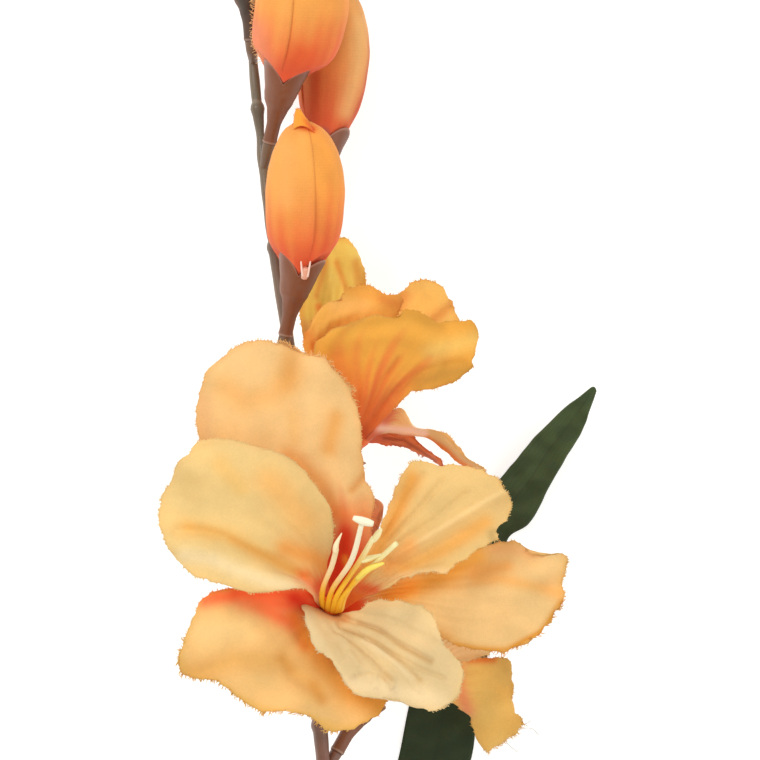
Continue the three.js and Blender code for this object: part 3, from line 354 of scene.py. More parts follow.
# Stamens of the front bloom: a filament after the stalk, the colour of its end, where its yellow stops,
# and its anther with how far that tapers
STAMENS = [
    ("7,-1.4,60 6.9,3.4,66 9.6,10.4,74 11,15.6,81", "#fae8be", 0.8,
     "10.6,14.6,80.6 11,17,82.4 12.6,20.4,84", 0.8),
    ("8.5,-2.3,60 9.6,3,67 15.6,12.5,80 18.6,23.4,91", "#f6eed2", 0.8,
     "16,25,91.6 19,24,92 22,23.2,91.6", 0),
    ("9.8,-2.8,60 11.4,2,67 18,12,77 22,19,85.6", "#faecb4", 0.95,
     "22,18,84 23.4,20.2,86.2 24.4,21.6,87.6", 0.5),
    ("11,-3,60 12.6,1,66 20.5,9.5,74 29,17.4,83", "#f8ecb0", 0.95,
     "18.2,12,77.6 21,12.8,77 24.4,14,79", 0.6),
    ("12,-2.8,60 13.4,1,65 17.4,7,73 21.6,10.2,77", "#fae264", 1,
     "17,6.6,73 20.6,9.6,77 25.2,11.4,78.6", 0.5),
]
HIDDEN_STAMENS = 5


# The tables' text
def value(word):
    """What a word of a table stands for: a point, a colour or a number."""
    if "," in word:
        return tuple(float(n) for n in word.split(","))
    return word if word.startswith("#") else float(word)


def read_points(text):
    return [value(word) for word in text.split()]


def read_rows(text):
    return [read_points(row) for row in text.split("/")]


def strokes(spec, key):
    """Lines of the view: the points of each, then its numbers and perhaps its colour."""
    made = []
    for values in read_rows(spec[key]) if key in spec else []:
        line = [v for v in values if isinstance(v, tuple)]
        made.append((line, *values[len(line):]))
    return made


# Numbers and curves
def unit(v):
    v = np.asarray(v, float)
    return v / np.maximum(np.linalg.norm(v, axis=-1, keepdims=True), 1e-9)


class Place:
    """Where a bloom or bud stands: its points, and the axis from its foot to its mouth."""

    def __init__(self, text):
        self.stem, self.foot, self.mouth, *self.beyond = np.array(read_points(text))
        self.axis = unit(self.mouth - self.foot)

    def at(self, height):
        return self.foot + self.axis * height


def square_to(axis):
    """Two directions at right angles to an axis and to each other."""
    side = unit(np.array([1.0, 0.0, 0.0]) - axis * axis[0])
    return side, np.cross(axis, side)


def turned(side, up, angle):
    return side * math.cos(angle) + up * math.sin(angle)


def ease(low, high, x):
    """0 below low, 1 above high, smooth between."""
    w = np.clip((x - low) / (high - low), 0, 1)
    return w * w * (3 - 2 * w)


def curve(stops, ts):
    """Points of a centripetal Catmull-Rom curve through the stops, the curve that the CAD uses."""
    stops = np.asarray(stops, float)
    count = len(stops)
    padded = np.vstack([2 * stops[0] - stops[1], stops, 2 * stops[-1] - stops[-2]])
    place = np.asarray(ts, float) * (count - 1)
    first = np.clip(np.floor(place).astype(int), 0, count - 2)
    w = (place - first)[:, None]
    p0, p1, p2, p3 = (padded[first + k] for k in range(4))
    gaps = [np.sqrt(np.linalg.norm(b - a, axis=1))[:, None] for a, b in ((p0, p1), (p1, p2), (p2, p3))]
    d0, d1, d2 = (np.maximum(gap, 1e-4) for gap in gaps)
    t1 = ((p1 - p0) / d0 - (p2 - p0) / (d0 + d1) + (p2 - p1) / d1) * d1
    t2 = ((p2 - p1) / d1 - (p3 - p1) / (d1 + d2) + (p3 - p2) / d2) * d1
    c2 = -3 * p1 + 3 * p2 - 2 * t1 - t2
    c3 = 2 * p1 - 2 * p2 + t1 + t2
    return p1 + t1 * w + c2 * w ** 2 + c3 * w ** 3


def smooth(stops, count):
    return curve(stops, np.linspace(0, 1, count))


def ripples(x, y, seed, wavelength):
    """A smooth random field of about unit size over two coordinates."""
    rng = random.Random(seed)
    total = np.zeros(np.broadcast(x, y).shape)
    for _ in range(RIPPLE_WAVES):
        angle = rng.uniform(0, math.tau)
        wave = math.tau / (wavelength * rng.uniform(0.7, 1.5))
        total = total + np.sin(wave * (x * math.cos(angle) + y * math.sin(angle)) + rng.uniform(0, math.tau))
    return total / math.sqrt(RIPPLE_WAVES / 2)


def from_view(line):
    """Points of the view, from its pixels to millimetres."""
    return (np.asarray(line, float) - VIEW_ZERO) * (VIEW_SCALE, -VIEW_SCALE)


def nearness(spots, line, width):
    """1 on a line of the view, given in its pixels, falling to 0 beyond about the width."""
    x = spots[..., 0] / VIEW_SCALE + VIEW_ZERO[0]
    y = VIEW_ZERO[1] - spots[..., 1] / VIEW_SCALE
    nearest = np.full(x.shape, np.inf)
    for (ax, ay), (bx, by) in zip(line[:-1], line[1:]):
        length = max((bx - ax) ** 2 + (by - ay) ** 2, 1e-6)
        w = np.clip(((x - ax) * (bx - ax) + (y - ay) * (by - ay)) / length, 0, 1)
        nearest = np.minimum(nearest, (x - ax - w * (bx - ax)) ** 2 + (y - ay - w * (by - ay)) ** 2)
    return np.exp(-nearest / width ** 2)


# Colours
def linear(colour, dim=1.0):
    """A colour written #rrggbb, as the linear numbers that Blender works in."""
    c = dim * np.array(list(bytes.fromhex(colour[1:]))) / 255
    return np.where(c <= 0.04045, c / 12.92, ((c + 0.055) / 1.055) ** 2.4)


def painted(tones, *coats):
    """Tones with coats over them: the colour of each, where it lies, and perhaps how it is dimmed."""
    for colour, mask, *dim in coats:
        tones = tones + (linear(colour, *dim) - tones) * mask[..., None]
    return tones


# Coats from a spec's tint lines: some are the cloth's own colours, many are painted shade in creases, folds
# and under overlapping pieces, and some are painted highlights on ridges.
def tints_and_painted_shading(spec, grid):
    return [(colour, strength * nearness(grid, line, width))
            for line, width, colour, strength in strokes(spec, "tints_and_painted_shading")]


# Meshes
class Skin:
    """The points, faces, colours and cloth directions of one piece while it is being made."""

    def __init__(self):
        self.points, self.faces, self.tones, self.weave = [], [], [], []
        self.count = 0

    def add(self, points, faces, tones, weave=None):
        points = np.reshape(points, (-1, 3))
        self.points.append(points)
        self.tones.append(np.broadcast_to(np.reshape(tones, (-1, 3)), points.shape))
        self.weave.append(points if weave is None else np.reshape(weave, (-1, 3)))
        self.faces.extend([i + self.count for i in face] for face in faces)
        self.count += len(points)


def grid_faces(steps, columns, closed=False):
    width = columns if closed else columns + 1
    faces = []
    for i in range(steps):
        for j in range(columns):
            a, b = i * width + j, i * width + (j + 1) % width
            faces.append((a, b, b + width, a + width))
    return faces


def capped_faces(rings, sides):
    """The faces of a tube with a face at each end."""
    ends = [tuple(reversed(range(sides))), tuple((rings - 1) * sides + j for j in range(sides))]
    return grid_faces(rings - 1, sides, closed=True) + ends


def grid_normals(grid):
    """The normals of a grid, each taken with those round it so that flat corners have one too."""
    steps, columns = grid.shape[:2]
    cross = np.cross(np.gradient(grid, axis=0), np.gradient(grid, axis=1))
    around = np.pad(cross, ((2, 2), (2, 2), (0, 0)), mode="edge")
    return unit(sum(around[i:i + steps, j:j + columns] for i in range(5) for j in range(5)))


def raised(grid, depth):
    """The grid, moved up along its normals by a depth, and kept above the floor."""
    normals = grid_normals(grid)
    grid = grid + np.sign(normals[..., 2].mean()) * normals * depth[..., None]
    grid[..., 2] = np.maximum(grid[..., 2], FLOOR_GAP)
    return grid


def add_sheet(skin, grid, tones, weave, thickness=CLOTH):
    """A thin closed sheet on both sides of a grid of points."""
    half = grid_normals(grid) * thickness / 2
    steps, columns = grid.shape[0] - 1, grid.shape[1] - 1
    width = columns + 1
    count = (steps + 1) * width
    faces = grid_faces(steps, columns)
    both = faces + [tuple(count + i for i in reversed(face)) for face in faces]
    rim = list(range(columns))
    rim += [i * width + columns for i in range(steps)]
    rim += [steps * width + j for j in range(columns, 0, -1)]
    rim += [i * width for i in range(steps, 0, -1)]
    for a, b in zip(rim, rim[1:] + rim[:1]):
        both.append((b, a, count + a, count + b))
    skin.add(np.concatenate([grid + half, grid - half]), both, [tones, tones], [weave, weave])


def add_tube(skin, line, radii, tones, sides=8, ribs=0, rib_depth=0.0):
    """A closed tube along a line of points."""
    line = np.asarray(line, float)
    tangents = unit(np.gradient(line, axis=0))
    start = (0, 0, 1) if abs(tangents[0][2]) < 0.9 else (1, 0, 0)
    side = unit(np.cross(tangents[0], start))
    angles = np.linspace(0, math.tau, sides, endpoint=False)
    rings = []
    for centre, tangent, radius in zip(line, tangents, np.broadcast_to(radii, len(line))):
        side = unit(side - tangent * np.dot(side, tangent))
        up = np.cross(tangent, side)
        reach = radius + rib_depth * np.cos(ribs * angles)
        spokes = np.outer(np.cos(angles), side) + np.outer(np.sin(angles), up)
        rings.append(centre + reach[:, None] * spokes)
    if np.ndim(tones) == 2:
        tones = np.repeat(tones, sides, axis=0)
    skin.add(rings, [face[::-1] for face in capped_faces(len(line), sides)], tones)


def make_object(name, skin, material, slot, *nodes):
    """One piece from a skin, riding on the spray and standing for the CAD nodes."""
    mesh = bpy.data.meshes.new(name)
    points = (np.concatenate(skin.points) + SHIFT) * MM
    mesh.from_pydata(points.tolist(), [], skin.faces)
    colours = np.ones((len(points), 4))
    colours[:, :3] = np.concatenate(skin.tones)
    mesh.attributes.new("tone", "FLOAT_COLOR", "POINT").data.foreach_set("color", colours.ravel())
    weave = np.concatenate(skin.weave).ravel()
    mesh.attributes.new("weave", "FLOAT_VECTOR", "POINT").data.foreach_set("vector", weave)
    mesh.materials.append(material)
    mesh.shade_smooth()
    mesh.update()
    piece = bpy.data.objects.new(name, mesh)
    bpy.context.scene.collection.objects.link(piece)
    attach(piece, "root")
    if nodes:
        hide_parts(*nodes)
    return piece


# Materials
def node(tree, kind, inputs, **settings):
    """A shader node with its settings, and with its inputs linked to sockets or set to values."""
    made = tree.nodes.new("ShaderNode" + kind)
    for key, setting in settings.items():
        setattr(made, key, setting)
    for key, given in inputs.items():
        if isinstance(given, bpy.types.NodeSocket):
            tree.links.new(given, made.inputs[key])
        else:
            made.inputs[key].default_value = given
    return made


def maths(tree, operation, *given):
    return node(tree, "Math", dict(enumerate(given)), operation=operation).outputs[0]


def scaled(tree, vector, scale):
    return node(tree, "VectorMath", {0: vector, "Scale": scale}, operation="SCALE").outputs[0]


def attribute(tree, name, output):
    return node(tree, "Attribute", {}, attribute_name=name).outputs[output]


def noise(tree, place, scale, detail, roughness=0.5):
    given = {"Vector": place, "Scale": scale, "Detail": detail, "Roughness": roughness}
    return node(tree, "TexNoise", given).outputs


def start_material(name):
    material = bpy.data.materials.new(name)
    material.use_nodes = True
    material.node_tree.nodes.clear()
    return material, material.node_tree


def threads_of(tree, place, pitch):
    """The height of a plain weave, from 0 in its holes to 1 on its crossings."""
    shift = scaled(tree, noise(tree, place, 0.25, 1)["Color"], 0.5)
    moved = node(tree, "VectorMath", {0: place, 1: shift}, operation="ADD").outputs[0]
    parts = node(tree, "SeparateXYZ", {0: moved}).outputs
    waves = [maths(tree, "COSINE", maths(tree, "MULTIPLY", parts[axis], math.tau / pitch)) for axis in "XY"]
    return maths(tree, "MULTIPLY_ADD", maths(tree, "ADD", *waves), 0.25, 0.5)


def cloth(name, pitch, through, sheen, weave_light, roughness=0.78):
    """Woven cloth coloured by its points: thread by thread light and dark, and lit through from behind."""
    material, tree = start_material(name)
    place = attribute(tree, "weave", "Vector")
    height = threads_of(tree, place, pitch)
    mottle = noise(tree, place, 0.16, 3, 0.6)["Fac"]
    fine = noise(tree, place, 1.4, 2, 0.7)["Fac"]
    light = maths(tree, "MULTIPLY_ADD", height, weave_light, 1 - weave_light / 2)
    broad = maths(tree, "MULTIPLY_ADD", mottle, 0.16, 0.92)
    close = maths(tree, "MULTIPLY_ADD", fine, 0.14, 0.93)
    factor = maths(tree, "MULTIPLY", maths(tree, "MULTIPLY", light, broad), close)
    colour = scaled(tree, attribute(tree, "tone", "Color"), factor)
    deep = node(tree, "Gamma", {"Color": colour, "Gamma": 1.25}).outputs[0]
    relief = maths(tree, "MULTIPLY_ADD", fine, 0.5, height)
    bump = node(tree, "Bump", {"Height": relief, "Strength": 0.12, "Distance": 0.00012}).outputs[0]
    surface = node(tree, "BsdfPrincipled", {
        "Base Color": colour, "Roughness": roughness, "Normal": bump,
        "Specular IOR Level": 0.25, "Sheen Weight": sheen, "Sheen Roughness": 0.5,
    }).outputs[0]
    behind = node(tree, "BsdfTranslucent", {"Color": deep}).outputs[0]
    mixed = node(tree, "MixShader", {0: through, 1: surface, 2: behind}).outputs[0]
    node(tree, "OutputMaterial", {"Surface": mixed})
    return material


def moulded(name, roughness, coat, speckle, grain_scale, depth):
    """Moulded plastic coloured by its points, with faint streaks and small dents."""
    material, tree = start_material(name)
    place = attribute(tree, "weave", "Vector")
    stretch = node(tree, "VectorMath", {0: place, 1: (1.0, 0.22, 1.0)}, operation="MULTIPLY").outputs[0]
    streaks = noise(tree, stretch, grain_scale, 4, 0.6)["Fac"]
    fine = noise(tree, place, grain_scale * 3, 2)["Fac"]
    light = maths(tree, "MULTIPLY_ADD", streaks, speckle, 1 - speckle / 2)
    height = maths(tree, "ADD", streaks, fine)
    surface = node(tree, "BsdfPrincipled", {
        "Base Color": scaled(tree, attribute(tree, "tone", "Color"), light),
        "Roughness": maths(tree, "MULTIPLY_ADD", fine, 0.2, roughness - 0.1),
        "Normal": node(tree, "Bump", {"Height": height, "Strength": 0.3, "Distance": depth}).outputs[0],
        "Coat Weight": coat, "Coat Roughness": 0.25,
    }).outputs[0]
    node(tree, "OutputMaterial", {"Surface": surface})
    return material


petal_cloth = cloth("petal_cloth", THREAD_PITCH, 0.26, 0.1, 0.03)
bud_cloth = cloth("bud_cloth", THREAD_PITCH, 0.12, 0.1, 0.05)
leaf_cloth = cloth("leaf_cloth", LEAF_PITCH, 0.05, 0.05, 0.12, roughness=0.6)
stem_plastic = moulded("stem_plastic", 0.42, 0.15, 0.5, 0.5, 0.0002)
cup_plastic = moulded("cup_plastic", 0.5, 0.08, 0.22, 0.35, 0.0001)
stamen_plastic = moulded("filament_plastic", 0.45, 0.1, 0.12, 0.8, 0.00008)


# Sheets of cloth
def cloth_grid(rows, steps, columns, rounding):
    """A grid over rows of an edge, a middle and an edge, as the CAD lays them, with its corners rounded."""
    t, u = np.meshgrid(np.linspace(0, 1, steps + 1), np.linspace(-1, 1, columns + 1), indexing="ij")
    place = (t * (1 - rounding * np.abs(u) ** 6)).ravel()
    left, middle, right = (curve([row[k] for row in rows], place).reshape(*t.shape, 3) for k in range(3))
    w = u[..., None]
    return left * w * (w - 1) / 2 + middle * (1 - w * w) + right * w * (w + 1) / 2, t, u


def run_length(line):
    return np.concatenate([[0], np.cumsum(np.linalg.norm(np.diff(line, axis=0), axis=1))])


def settle(values, rounds):
    """Draw the inside of a grid even between its edges."""
    for _ in range(rounds):
        near = values[:-2, 1:-1] + values[2:, 1:-1] + values[1:-1, :-2] + values[1:-1, 2:]
        values[1:-1, 1:-1] = near / 4


def follow(grid, t, u, outline):
    """The grid, moved in the view so that its edge follows an outline given in pixels."""
    steps, columns = grid.shape[0] - 1, grid.shape[1] - 1
    edge = np.concatenate([grid[:-1, 0], grid[-1, :-1], grid[::-1, -1]])[:, :2]
    target = from_view(outline)
    place, goal = run_length(edge), run_length(target)
    half = len(edge) // 2
    first = np.argmin(np.linalg.norm(edge[:half] - target[0], axis=1))
    last = half + np.argmin(np.linalg.norm(edge[half:] - target[-1], axis=1))
    held = np.clip(place, place[first], place[last])
    share = (held - place[first]) / (place[last] - place[first]) * goal[-1]
    move = np.stack([np.interp(share, goal, target[:, k]) - np.interp(held, place, edge[:, k])
                     for k in (0, 1)], axis=-1)
    move = move * np.exp(-((place - held) / EDGE_FADE) ** 2)[:, None]
    left, tip, right = move[:steps + 1], move[steps:steps + columns + 1], move[steps + columns:][::-1]
    w = ((u + 1) / 2)[..., None]
    shift = left[:, None] * (1 - w) + right[:, None] * w
    shift = shift + (t ** 2)[..., None] * (tip - shift[-1])
    settle(shift, EVEN_ROUNDS)
    moved = grid.copy()
    moved[..., :2] += shift
    settle(moved[..., :2], SMOOTH_ROUNDS)
    return moved


def uneven(grid, t, u, seed, size):
    """The grid with the small unevenness of an edge cut by hand."""
    x, y = grid[..., 0].copy(), grid[..., 1].copy()
    close = np.maximum(ease(0.86, 1, np.abs(u)), ease(0.9, 1, t)) * ease(0.1, 0.3, t)
    for k in (0, 1):
        wave = 0.6 * ripples(x, y, seed + k, 4) + 0.4 * ripples(x, y, seed + 2 + k, 1.3)
        grid[..., k] += size * wave * close
    return grid


def weave_place(grid):
    """Where each point lies on the flat cloth, with its threads along and across the blade."""
    along = unit(grid[-1].mean(axis=0) - grid[0].mean(axis=0))
    across = grid[:, -1].mean(axis=0) - grid[:, 0].mean(axis=0)
    across = unit(across - along * np.dot(across, along))
    return np.stack([grid @ across, grid @ along, 0 * grid[..., 0]], axis=-1)


def add_fray(skin, grid, tones, seed, count, longest, zone=None):
    """Short ends of thread along a sheet's cut edge, or only near a line of the view."""
    rng = random.Random(seed)
    steps, columns = grid.shape[0] - 1, grid.shape[1] - 1
    start = int(0.3 * steps)
    edge = [((i, 0), (i, 2)) for i in range(start, steps)]
    edge += [((steps, j), (steps - 2, j)) for j in range(columns + 1)]
    edge += [((i, columns), (i, columns - 2)) for i in range(start, steps)]
    weights = [1 if zone is None else float(nearness(grid[at], *zone)) for at, _ in edge]
    for at, inner in rng.choices(edge, weights, k=count):
        length = rng.uniform(0.3, longest)
        out = unit(grid[at] - grid[inner])
        heading = unit(out + 0.7 * np.array([rng.uniform(-1, 1) for _ in range(3)])) * length
        bend = unit([rng.uniform(-1, 1) for _ in range(3)]) * length * 0.3
        line = grid[at] + [-0.15 * out, heading * 0.5 + bend, heading]
        line[:, 2] = np.maximum(line[:, 2], 0.1)
        add_tube(skin, line, CUT_END_RADII, tones[at] * 1.1, sides=3)


def add_thread(skin, height, line, tone="#d6cec4"):
    """A loose thread along a line of the view, at one height."""
    stops = [(x, y, height) for x, y in from_view(line)]
    add_tube(skin, smooth(stops, 8), 0.07, linear(tone), sides=4)


# Petals and leaves
def whorl_root(place, whorl, row):
    """The row of points on the collar that a petal starts from."""
    height, radius = ROOTS[whorl]
    centre = place.at(height)
    out = row[1] - centre
    out = unit(out - place.axis * np.dot(out, place.axis))
    sideways = np.cross(place.axis, out)
    hand = np.sign(np.dot(sideways, np.subtract(row[2], row[0])))
    return [centre + radius * turned(out, sideways, side * ROOT_SPREAD * hand) for side in (-1, 0, 1)]


def hidden_rows(place, spec):
    """Rows of a petal that has only a turn and sizes, by the CAD's rule."""
    out = turned(*square_to(place.axis), math.radians(spec["turn"]))
    sideways = np.cross(place.axis, out)
    rows = []
    for t in (0.2, 0.4, 0.6, 0.8, 1):
        height = THROAT_HEIGHT + spec["rise"] * math.sin(math.pi * t / 2)
        middle = place.at(height) + out * (5 + (spec["spread"] - 5) * t ** 1.3)
        half = spec["half"] * math.sin(math.pi * (0.14 + 0.6 * t))
        row = np.array([middle + sideways * edge * half for edge in (-1, 0, 1)])
        row[:, 2] = np.maximum(row[:, 2], LOWEST_PETAL)
        rows.append(row)
    return rows


def petal_grid(place, spec, seed):
    """A petal in its final shape, its places on the flat cloth, and its shares of length and width."""
    rows = read_rows(spec["rows"]) if "rows" in spec else hidden_rows(place, spec)
    grid, t, u = cloth_grid([whorl_root(place, spec["whorl"], rows[0]), *rows], *PETAL_GRID, 0.05)
    if "edge" in spec:
        grid = follow(grid, t, u, read_points(spec["edge"]))
    grid = uneven(grid, t, u, seed, 0.2)
    flat = weave_place(grid)
    x, y = flat[..., 0], flat[..., 1]
    depth = 0.16 * ripples(x, y, seed, 11) * ease(0.1, 0.4, t)
    pleats = np.sin(math.tau * 4.5 * u + 1.2 * ripples(x, y, seed + 1, 30))
    depth = depth + 0.12 * pleats * ease(0.1, 0.35, t) * (1 - ease(0.55, 0.95, t))
    edge = np.maximum(np.abs(u), ease(0.2, 1, t)) ** 5 * ease(0.2, 0.6, t)
    depth = depth + 0.6 * edge * ripples(x, y, seed + 2, 14)
    for line, width, rise in strokes(spec, "creases"):
        depth = depth + RELIEF * rise * nearness(grid, line, width)
    return raised(grid, depth * ease(0.03, 0.2, t)), flat, t, u


def petal_tones(spec, seed, grid, flat, t, u):
    """A petal's body with its rim, the colour of its heart, its tints with their painted shade and
    highlights, and a faint mottle.
    """
    half = np.linalg.norm(grid[:, -1] - grid[:, 0], axis=-1)[:, None] / 2
    middle = grid[:, grid.shape[1] // 2]
    length = np.linalg.norm(middle[-1] - middle[0])
    cut = np.minimum((1 - t) * length, (1 - np.abs(u)) * half)
    rim = 0.8 * np.exp(-(cut / RIM_WIDTH) ** 2) * ease(0.3, 0.6, t)
    reach = spec["reach"] * (1 + 0.25 * ripples(u * 10, t * 2, seed + 3, 2.6))
    heart = 0.95 * ease(0, 1, 1 - (t - 0.12) / np.maximum(reach, 0.05))
    body_tone, heart_tone, rim_tone = spec["tones"].split()
    tones = painted(linear(body_tone), (rim_tone, rim), (heart_tone, heart), *tints_and_painted_shading(spec, grid))
    return tones * (1 + 0.03 * ripples(flat[..., 0], flat[..., 1], seed + 4, 16))[..., None]


def petal(name, spec, seed):
    bloom, whorl = "bloom_" + name.split("_")[1], spec["whorl"]
    grid, flat, t, u = petal_grid(Place(BLOOMS[bloom]), spec, seed)
    tones = petal_tones(spec, seed, grid, flat, t, u)
    skin = Skin()
    add_sheet(skin, grid, tones, flat)
    add_fray(skin, grid, tones, seed, CUT_ENDS[bloom], CUT_END_LENGTH)
    for line, width, count, longest in strokes(spec, "frayed"):
        add_fray(skin, grid, tones, seed + 1, int(count), longest, (line, width))
    for line, height in strokes(spec, "threads"):
        add_thread(skin, height, line)
    piece = make_object(name, skin, petal_cloth, f"{whorl}_petal", f"{bloom}_{whorl}_petals")
    width, length = spec["cut"]


def leaf(name, spec, seed):
    grid, t, u = cloth_grid(read_rows(spec["rows"]), *LEAF_GRID, 0)
    flat = weave_place(grid)
    x, y = flat[..., 0], flat[..., 1]
    veins = 1 - np.abs(np.sin(math.tau * 2.6 * np.abs(u) + 0.4 * ripples(x, y, seed, 40)))
    depth = 0.15 * veins * (1 - u * u) - 0.25 * np.exp(-(u / 0.09) ** 2)
    depth = depth + 0.22 * ripples(x, y, seed + 1, 16) + 0.12 * ripples(x, y, seed + 2, 5)
    grid = raised(grid, depth * ease(0.01, 0.08, t) * (1 - ease(0.9, 1, t)))
    tones = painted(
        linear("#364527"),
        ("#4a5a35", 0.4 + 0.3 * np.clip(ripples(x, y, seed + 3, 6), -1, 1)),
        ("#1e261a", 0.25 * np.exp(-(u / 0.07) ** 2)),
        ("#242e1e", 0.2 * veins ** 3),
        ("#566042", 0.5 * ease(0.92, 1, np.abs(u))),
        ("#1c2a16", 0.7 * (1 - ease(0.44, 0.8, t))),
    )
    skin = Skin()
    add_sheet(skin, grid, tones, flat, LEAF_CLOTH)
    piece = make_object(name + "_cloth", skin, leaf_cloth, "leaf", name)


# Buds
def inside_radius(h, rim):
    """The cup's inner radius at a height, for a cup of scale 1."""
    return CUP_RADIUS + (rim[1] - CUP_RADIUS) * (h - CUP_FLOOR) / (rim[0] - CUP_FLOOR)


def lobe_share(turn):
    """How high a cup's rim stands at a turn about its axis, between its valleys and its lobes."""
    return LOBE_DIP + (1 - LOBE_DIP) * np.abs(np.sin(1.5 * turn)) ** 0.9


def rotation_from_y(axis):
    """The smallest turn that takes +Y to the axis."""
    y = np.array([0.0, 1.0, 0.0])
    cross = np.cross(y, axis)
    k = np.array([[0, -cross[2], cross[1]], [cross[2], 0, -cross[0]], [-cross[1], cross[0], 0]])
    return np.eye(3) + k + k @ k / (1 + float(np.dot(y, axis)))


def bud_radius(t, spec):
    """The radius of a bud that nothing presses."""
    s, r, slim = spec["scale"], spec["radius"], spec.get("slim", 1)
    places = (0, 0.2, 0.33, 0.4, 0.42, 0.48, 0.55, 0.66, 0.75, 0.83, 0.9, 0.94, 0.96)
    shares = (0.4, 0.5, 0.64 * slim, 0.7 * slim, 0.89 * slim, 0.48 * (1 + slim),
              0.99, 0.93, 0.81, 0.6, 0.36, 0.02)
    radii = [3.2 * s, *(share * r for share in shares)]
    wide = np.interp(t, places, radii)
    near = sum(np.interp(np.clip(t + step, 0, 1), places, radii) for step in (-0.015, 0.015))
    return np.minimum(wide, (wide + near) / 3)


def wrap(place, spec, seed, k):
    """One wrap of cloth round a bud: its grid, its tones and its places on the flat cloth."""
    s = spec["scale"]
    ts = np.linspace(0.02, 0.96, WRAP_GRID[0] + 1)
    t = ts[:, None]
    u = np.linspace(0, 1, WRAP_GRID[1] + 1)[None, :]
    centres = curve([place.at(CUP_FLOOR * s + 0.7), place.at((CUP_FLOOR + 7) * s), *place.beyond], ts)
    sides = np.array([square_to(tangent) for tangent in unit(np.gradient(centres, axis=0))])
    height = ((centres - place.foot) @ place.axis / s)[:, None]
    facing = -math.pi / 2 + math.radians(spec["seam"]) + k * math.tau / 3
    angle = facing - math.radians(152) * (1 - u) + 0.1 * np.sin(3 * t + k)
    out = np.cos(angle)[..., None] * sides[:, None, 0] + np.sin(angle)[..., None] * sides[:, None, 1]
    wide = bud_radius(ts, spec)[:, None]
    free = ease(0.42, 0.52, t) * np.minimum(1, wide / 6) * (1 - ease(0.86, 0.96, t))
    hem = 0.16 * np.exp(-((1 - u) * wide * 2.6 - 4.6) ** 2 / 1.4)
    wide = wide + free * ((u - 0.5) * 0.5 + hem + 0.02 * wide * np.cos(3 * angle))
    wide = wide + 0.08 * free * ripples(angle * 8, t * 40, seed + k, 16)
    local = out @ rotation_from_y(place.axis)
    rim_at = CUP_VALLEY + (BUD_RIM[0] - CUP_VALLEY) * lobe_share(np.arctan2(local[..., 0], local[..., 2]))
    held = inside_radius(np.minimum(height, BUD_RIM[0]), BUD_RIM) * s * 0.966 - 0.45 + 0.12 * (u - 1)
    wide = np.minimum(wide, held + 1.8 * s * np.maximum(0, height - rim_at - 0.2))
    grid = centres[:, None, :] + wide[..., None] * out
    grid[..., 2] = np.maximum(grid[..., 2], FLOOR_GAP)
    foot_tone, tip_tone, right_tone = spec["tones"].split()
    rays = 0.02 * ripples(angle * 6, t * 2, seed + 5 + k, 2)
    # A painted highlight along the fold of each wrap's hem.
    hem_painted_highlight = np.exp(-(((1 - u) * wide * 2.6 - 2.4) / 1.6) ** 2)
    tones = painted(
        linear(tip_tone),
        (right_tone, ease(-0.1, 0.8, np.cos(angle))),
        (foot_tone, 1 - ease(0.36, 0.76, t + rays)),
        # Tint lines from the table, with painted shadow and painted highlights among them.
        *tints_and_painted_shading(spec, grid),
        (foot_tone, 0.12 * np.exp(-((1 - u) / 0.02) ** 2), 0.8),
        ("#ffbe6e", 0.15 * hem_painted_highlight * ease(0.45, 0.6, t)),
    )
    tones = tones * (1 + 0.02 * ripples(angle * 10, t * 40, seed + 8 + k, 8))[..., None]
    return grid, tones, np.stack([angle * spec["radius"], 62 * t + 0 * angle, 0 * angle], axis=-1)


def bud(name, spec, seed):
    """Three wraps of cloth round a core, pressed in by the lobes of the cup, each laid over the next."""
    skin = Skin()
    for k in range(3):
        add_sheet(skin, *wrap(Place(spec["route"]), spec, seed, k))
    if name == "bud_front":
        add_tip_flap(skin, seed)
    if name == "bud_upper":
        add_loose_edge(skin, seed)
    piece = make_object(name + "_wraps", skin, bud_cloth, "bud", name)


def add_tip_flap(skin, seed):
    """The end of one wrap, folded over the tip of the front bud."""
    grid, t, u = cloth_grid(read_rows(TIP_FLAP), 14, 12, 0.08)
    tones = painted(linear("#faa438"), ("#ee6422", 0.9 * ease(-0.2, 0.8, u) * (1 - ease(0.3, 0.8, t))))
    add_sheet(skin, grid, tones, weave_place(grid))
    add_fray(skin, grid, tones, seed, 50, 1)


def add_loose_edge(skin, seed):
    """The loose threads along the left edge of the upper bud."""
    rng = random.Random(seed)
    for _ in range(60):
        y = rng.uniform(-4, 62)
        edge = 252.6 + 7 * ease(40, 64, y)
        reach, rise = rng.uniform(0.5, 4), rng.uniform(-4, 4)
        add_thread(skin, 40, [(edge + 4, y), (edge, y + rise / 3), (edge - reach, y + rise)], "#fac88c")


# Cups, stem and stamens
def cup_profile(s, rim):
    """Points of a cup's outline, from its foot over its rim to its floor: radius, height and thinness."""
    top, wide = rim
    profile = [(1.3, -0.2, 0), (2, -0.2, 0), (2.2, 0.1, 0), (2.2, 0.5, 0), (2.1, 1.2, 0),
               (2.1, 4 * s, 0), (2.15, 6 * s, 0), (1.4 + 1.2 * s, 8.2 * s, 0),
               (0.5 + 2.7 * s, 10.8 * s, 0), (4 * s + 0.3, 13 * s, 0)]
    walls = [(14, 0.6), (15.2, 0.65), *((h, CUP_WALL) for h in np.linspace(17, top, 7))]
    profile += [((inside_radius(h, rim) + wall) * s, h * s, h / top) for h, wall in walls]
    return profile + [(wide * s + 0.1, top * s, 1), (inside_radius(17, rim) * s, 17 * s, 0.7),
                      (CUP_RADIUS * s, CUP_FLOOR * s + 0.35, 0), (0.3, CUP_FLOOR * s + 0.35, 0)]


